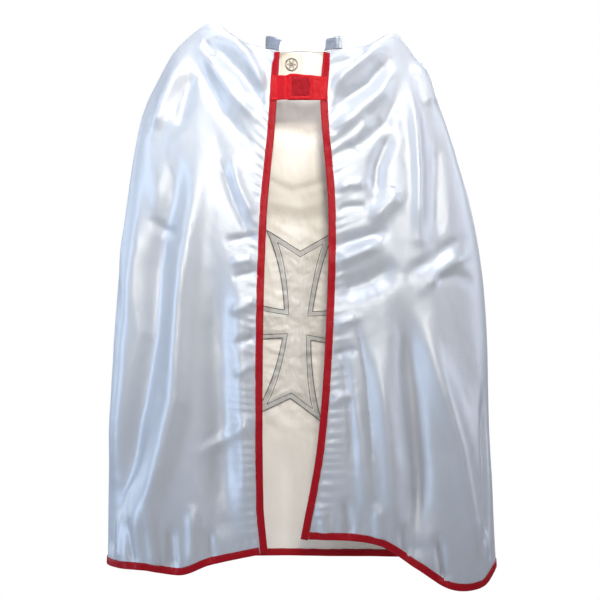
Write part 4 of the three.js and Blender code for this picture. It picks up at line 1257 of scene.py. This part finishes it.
outer = crossPatches(cross["border"] - 1.0, 0.6, 1, 0.4, 161)
outer.append(faceStitches(outlineLine(cross["border"] + 2.2, 1.35, 1), 1, pitch=2.8, length=2.0,
                          radius=0.22, finish=1))
outerPiece = makeMesh("cross_outside", outer, ["crossRed", "redThread"], weld=True)
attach(outerPiece, "cape")
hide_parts("cross_applique")

edging = cordPatch(outlineLine(cross["border"] / 2, 1.0, 1), 1, cross["border"], 1.6, 171, around=16)
borderPiece = makeMesh("cross_edging", [edging], ["silver"], weld=True, turnOut=True)
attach(borderPiece, "cape")
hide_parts("cross_border")
print("cross made")


lamps = [
    # name, place, aimed at, width, height, watts, colour, spread in degrees
    ("key", (0.12, -2.6, 0.42), (-0.04, 0, 0.1), 0.25, 0.25, 2.3, (1.0, 0.95, 0.82), 42),
    ("overhead", (0.1, -1.0, 1.25), (-0.05, 0, 0.04), 0.7, 0.4, 4.2, (0.90, 0.94, 1.0), 66),
    ("leftSoft", (-1.6, -0.8, -0.25), (-0.25, 0, -0.4), 0.4, 1.4, 2.7, (0.60, 0.77, 1.0), 70),
    ("rightSoft", (1.6, -0.25, 0.0), (0.15, 0, -0.3), 0.4, 1.2, 3.6, (0.84, 0.89, 1.0), 120),
    ("bounce", (0.0, -0.45, -1.05), (0, 0.05, -0.45), 0.6, 0.4, 0.12, (1.0, 0.93, 0.88), 120),
    ("behind", (1.4, 1.7, 0.7), (0, 0, -0.3), 0.5, 0.9, 13, (1.0, 0.98, 0.95), 120),
    ("behindLeft", (-1.8, 0.9, -0.1), (0, 0, -0.3), 0.4, 1.2, 4, (0.75, 0.87, 1.0), 120),
    ("top", (0, 1.0, 2.2), (0, 0.6, -1.15), 1.0, 1.0, 12, (0.97, 0.98, 1.0), 110),
]
for name, place, target, width, height, watts, colour, spread in lamps:
    lamp = bpy.data.lights.new(name, "AREA")
    lamp.shape, lamp.size, lamp.size_y, lamp.energy, lamp.color = "RECTANGLE", width, height, watts, colour
    lamp.spread = math.radians(spread)
    holder = bpy.data.objects.new(name, lamp)
    holder.location = place
    holder.visible_camera = False
    holder.rotation_euler = (Vector(target) - Vector(place)).to_track_quat("-Z", "Y").to_euler()
    bpy.context.scene.collection.objects.link(holder)

studio = bpy.data.worlds.new("studio")
bpy.context.scene.world = studio
studio.use_nodes = True
tree = studio.node_tree
tree.nodes.clear()
room = addNode(tree, "Background", {"Color": (0.86, 0.91, 1.0, 1), "Strength": 0.07})
backdrop = addNode(tree, "Background", {"Color": (1, 1, 1, 1), "Strength": 1.0})
path, choice = addNode(tree, "LightPath"), addNode(tree, "MixShader")
output = addNode(tree, "OutputWorld")
tree.links.new(path.outputs["Is Camera Ray"], choice.inputs[0])
tree.links.new(room.outputs[0], choice.inputs[1])
tree.links.new(backdrop.outputs[0], choice.inputs[2])
tree.links.new(choice.outputs[0], output.inputs["Surface"])

floorMaterial = bpy.data.materials.new("paleFloor")
floorMaterial.use_nodes = True
paint = floorMaterial.node_tree.nodes["Principled BSDF"]
paint.inputs["Base Color"].default_value = (0.86, 0.86, 0.86, 1)
paint.inputs["Roughness"].default_value = 0.8
floorHalf, floorZ = 1.8, -1.15
floorMesh = bpy.data.meshes.new("floor")
corners = [(x * floorHalf, y * floorHalf, floorZ) for x, y in ((-1, -1), (1, -1), (1, 1), (-1, 1))]
floorMesh.from_pydata(corners, [], [(0, 1, 2, 3)])
floorMesh.materials.append(floorMaterial)
floor = bpy.data.objects.new("floor", floorMesh)
bpy.context.scene.collection.objects.link(floor)

lens = bpy.data.cameras.new("view")
lens.sensor_width, lens.lens = 36, 88.9
lens.clip_start, lens.clip_end = 0.05, 50
camera = bpy.data.objects.new("view", lens)
camera.location = (0, -2.055, -0.3365)
camera.rotation_euler = (math.pi / 2, 0, 0)
bpy.context.scene.collection.objects.link(camera)
bpy.context.scene.camera = camera
bpy.context.scene.view_settings.view_transform = "Standard"

print("scene made")
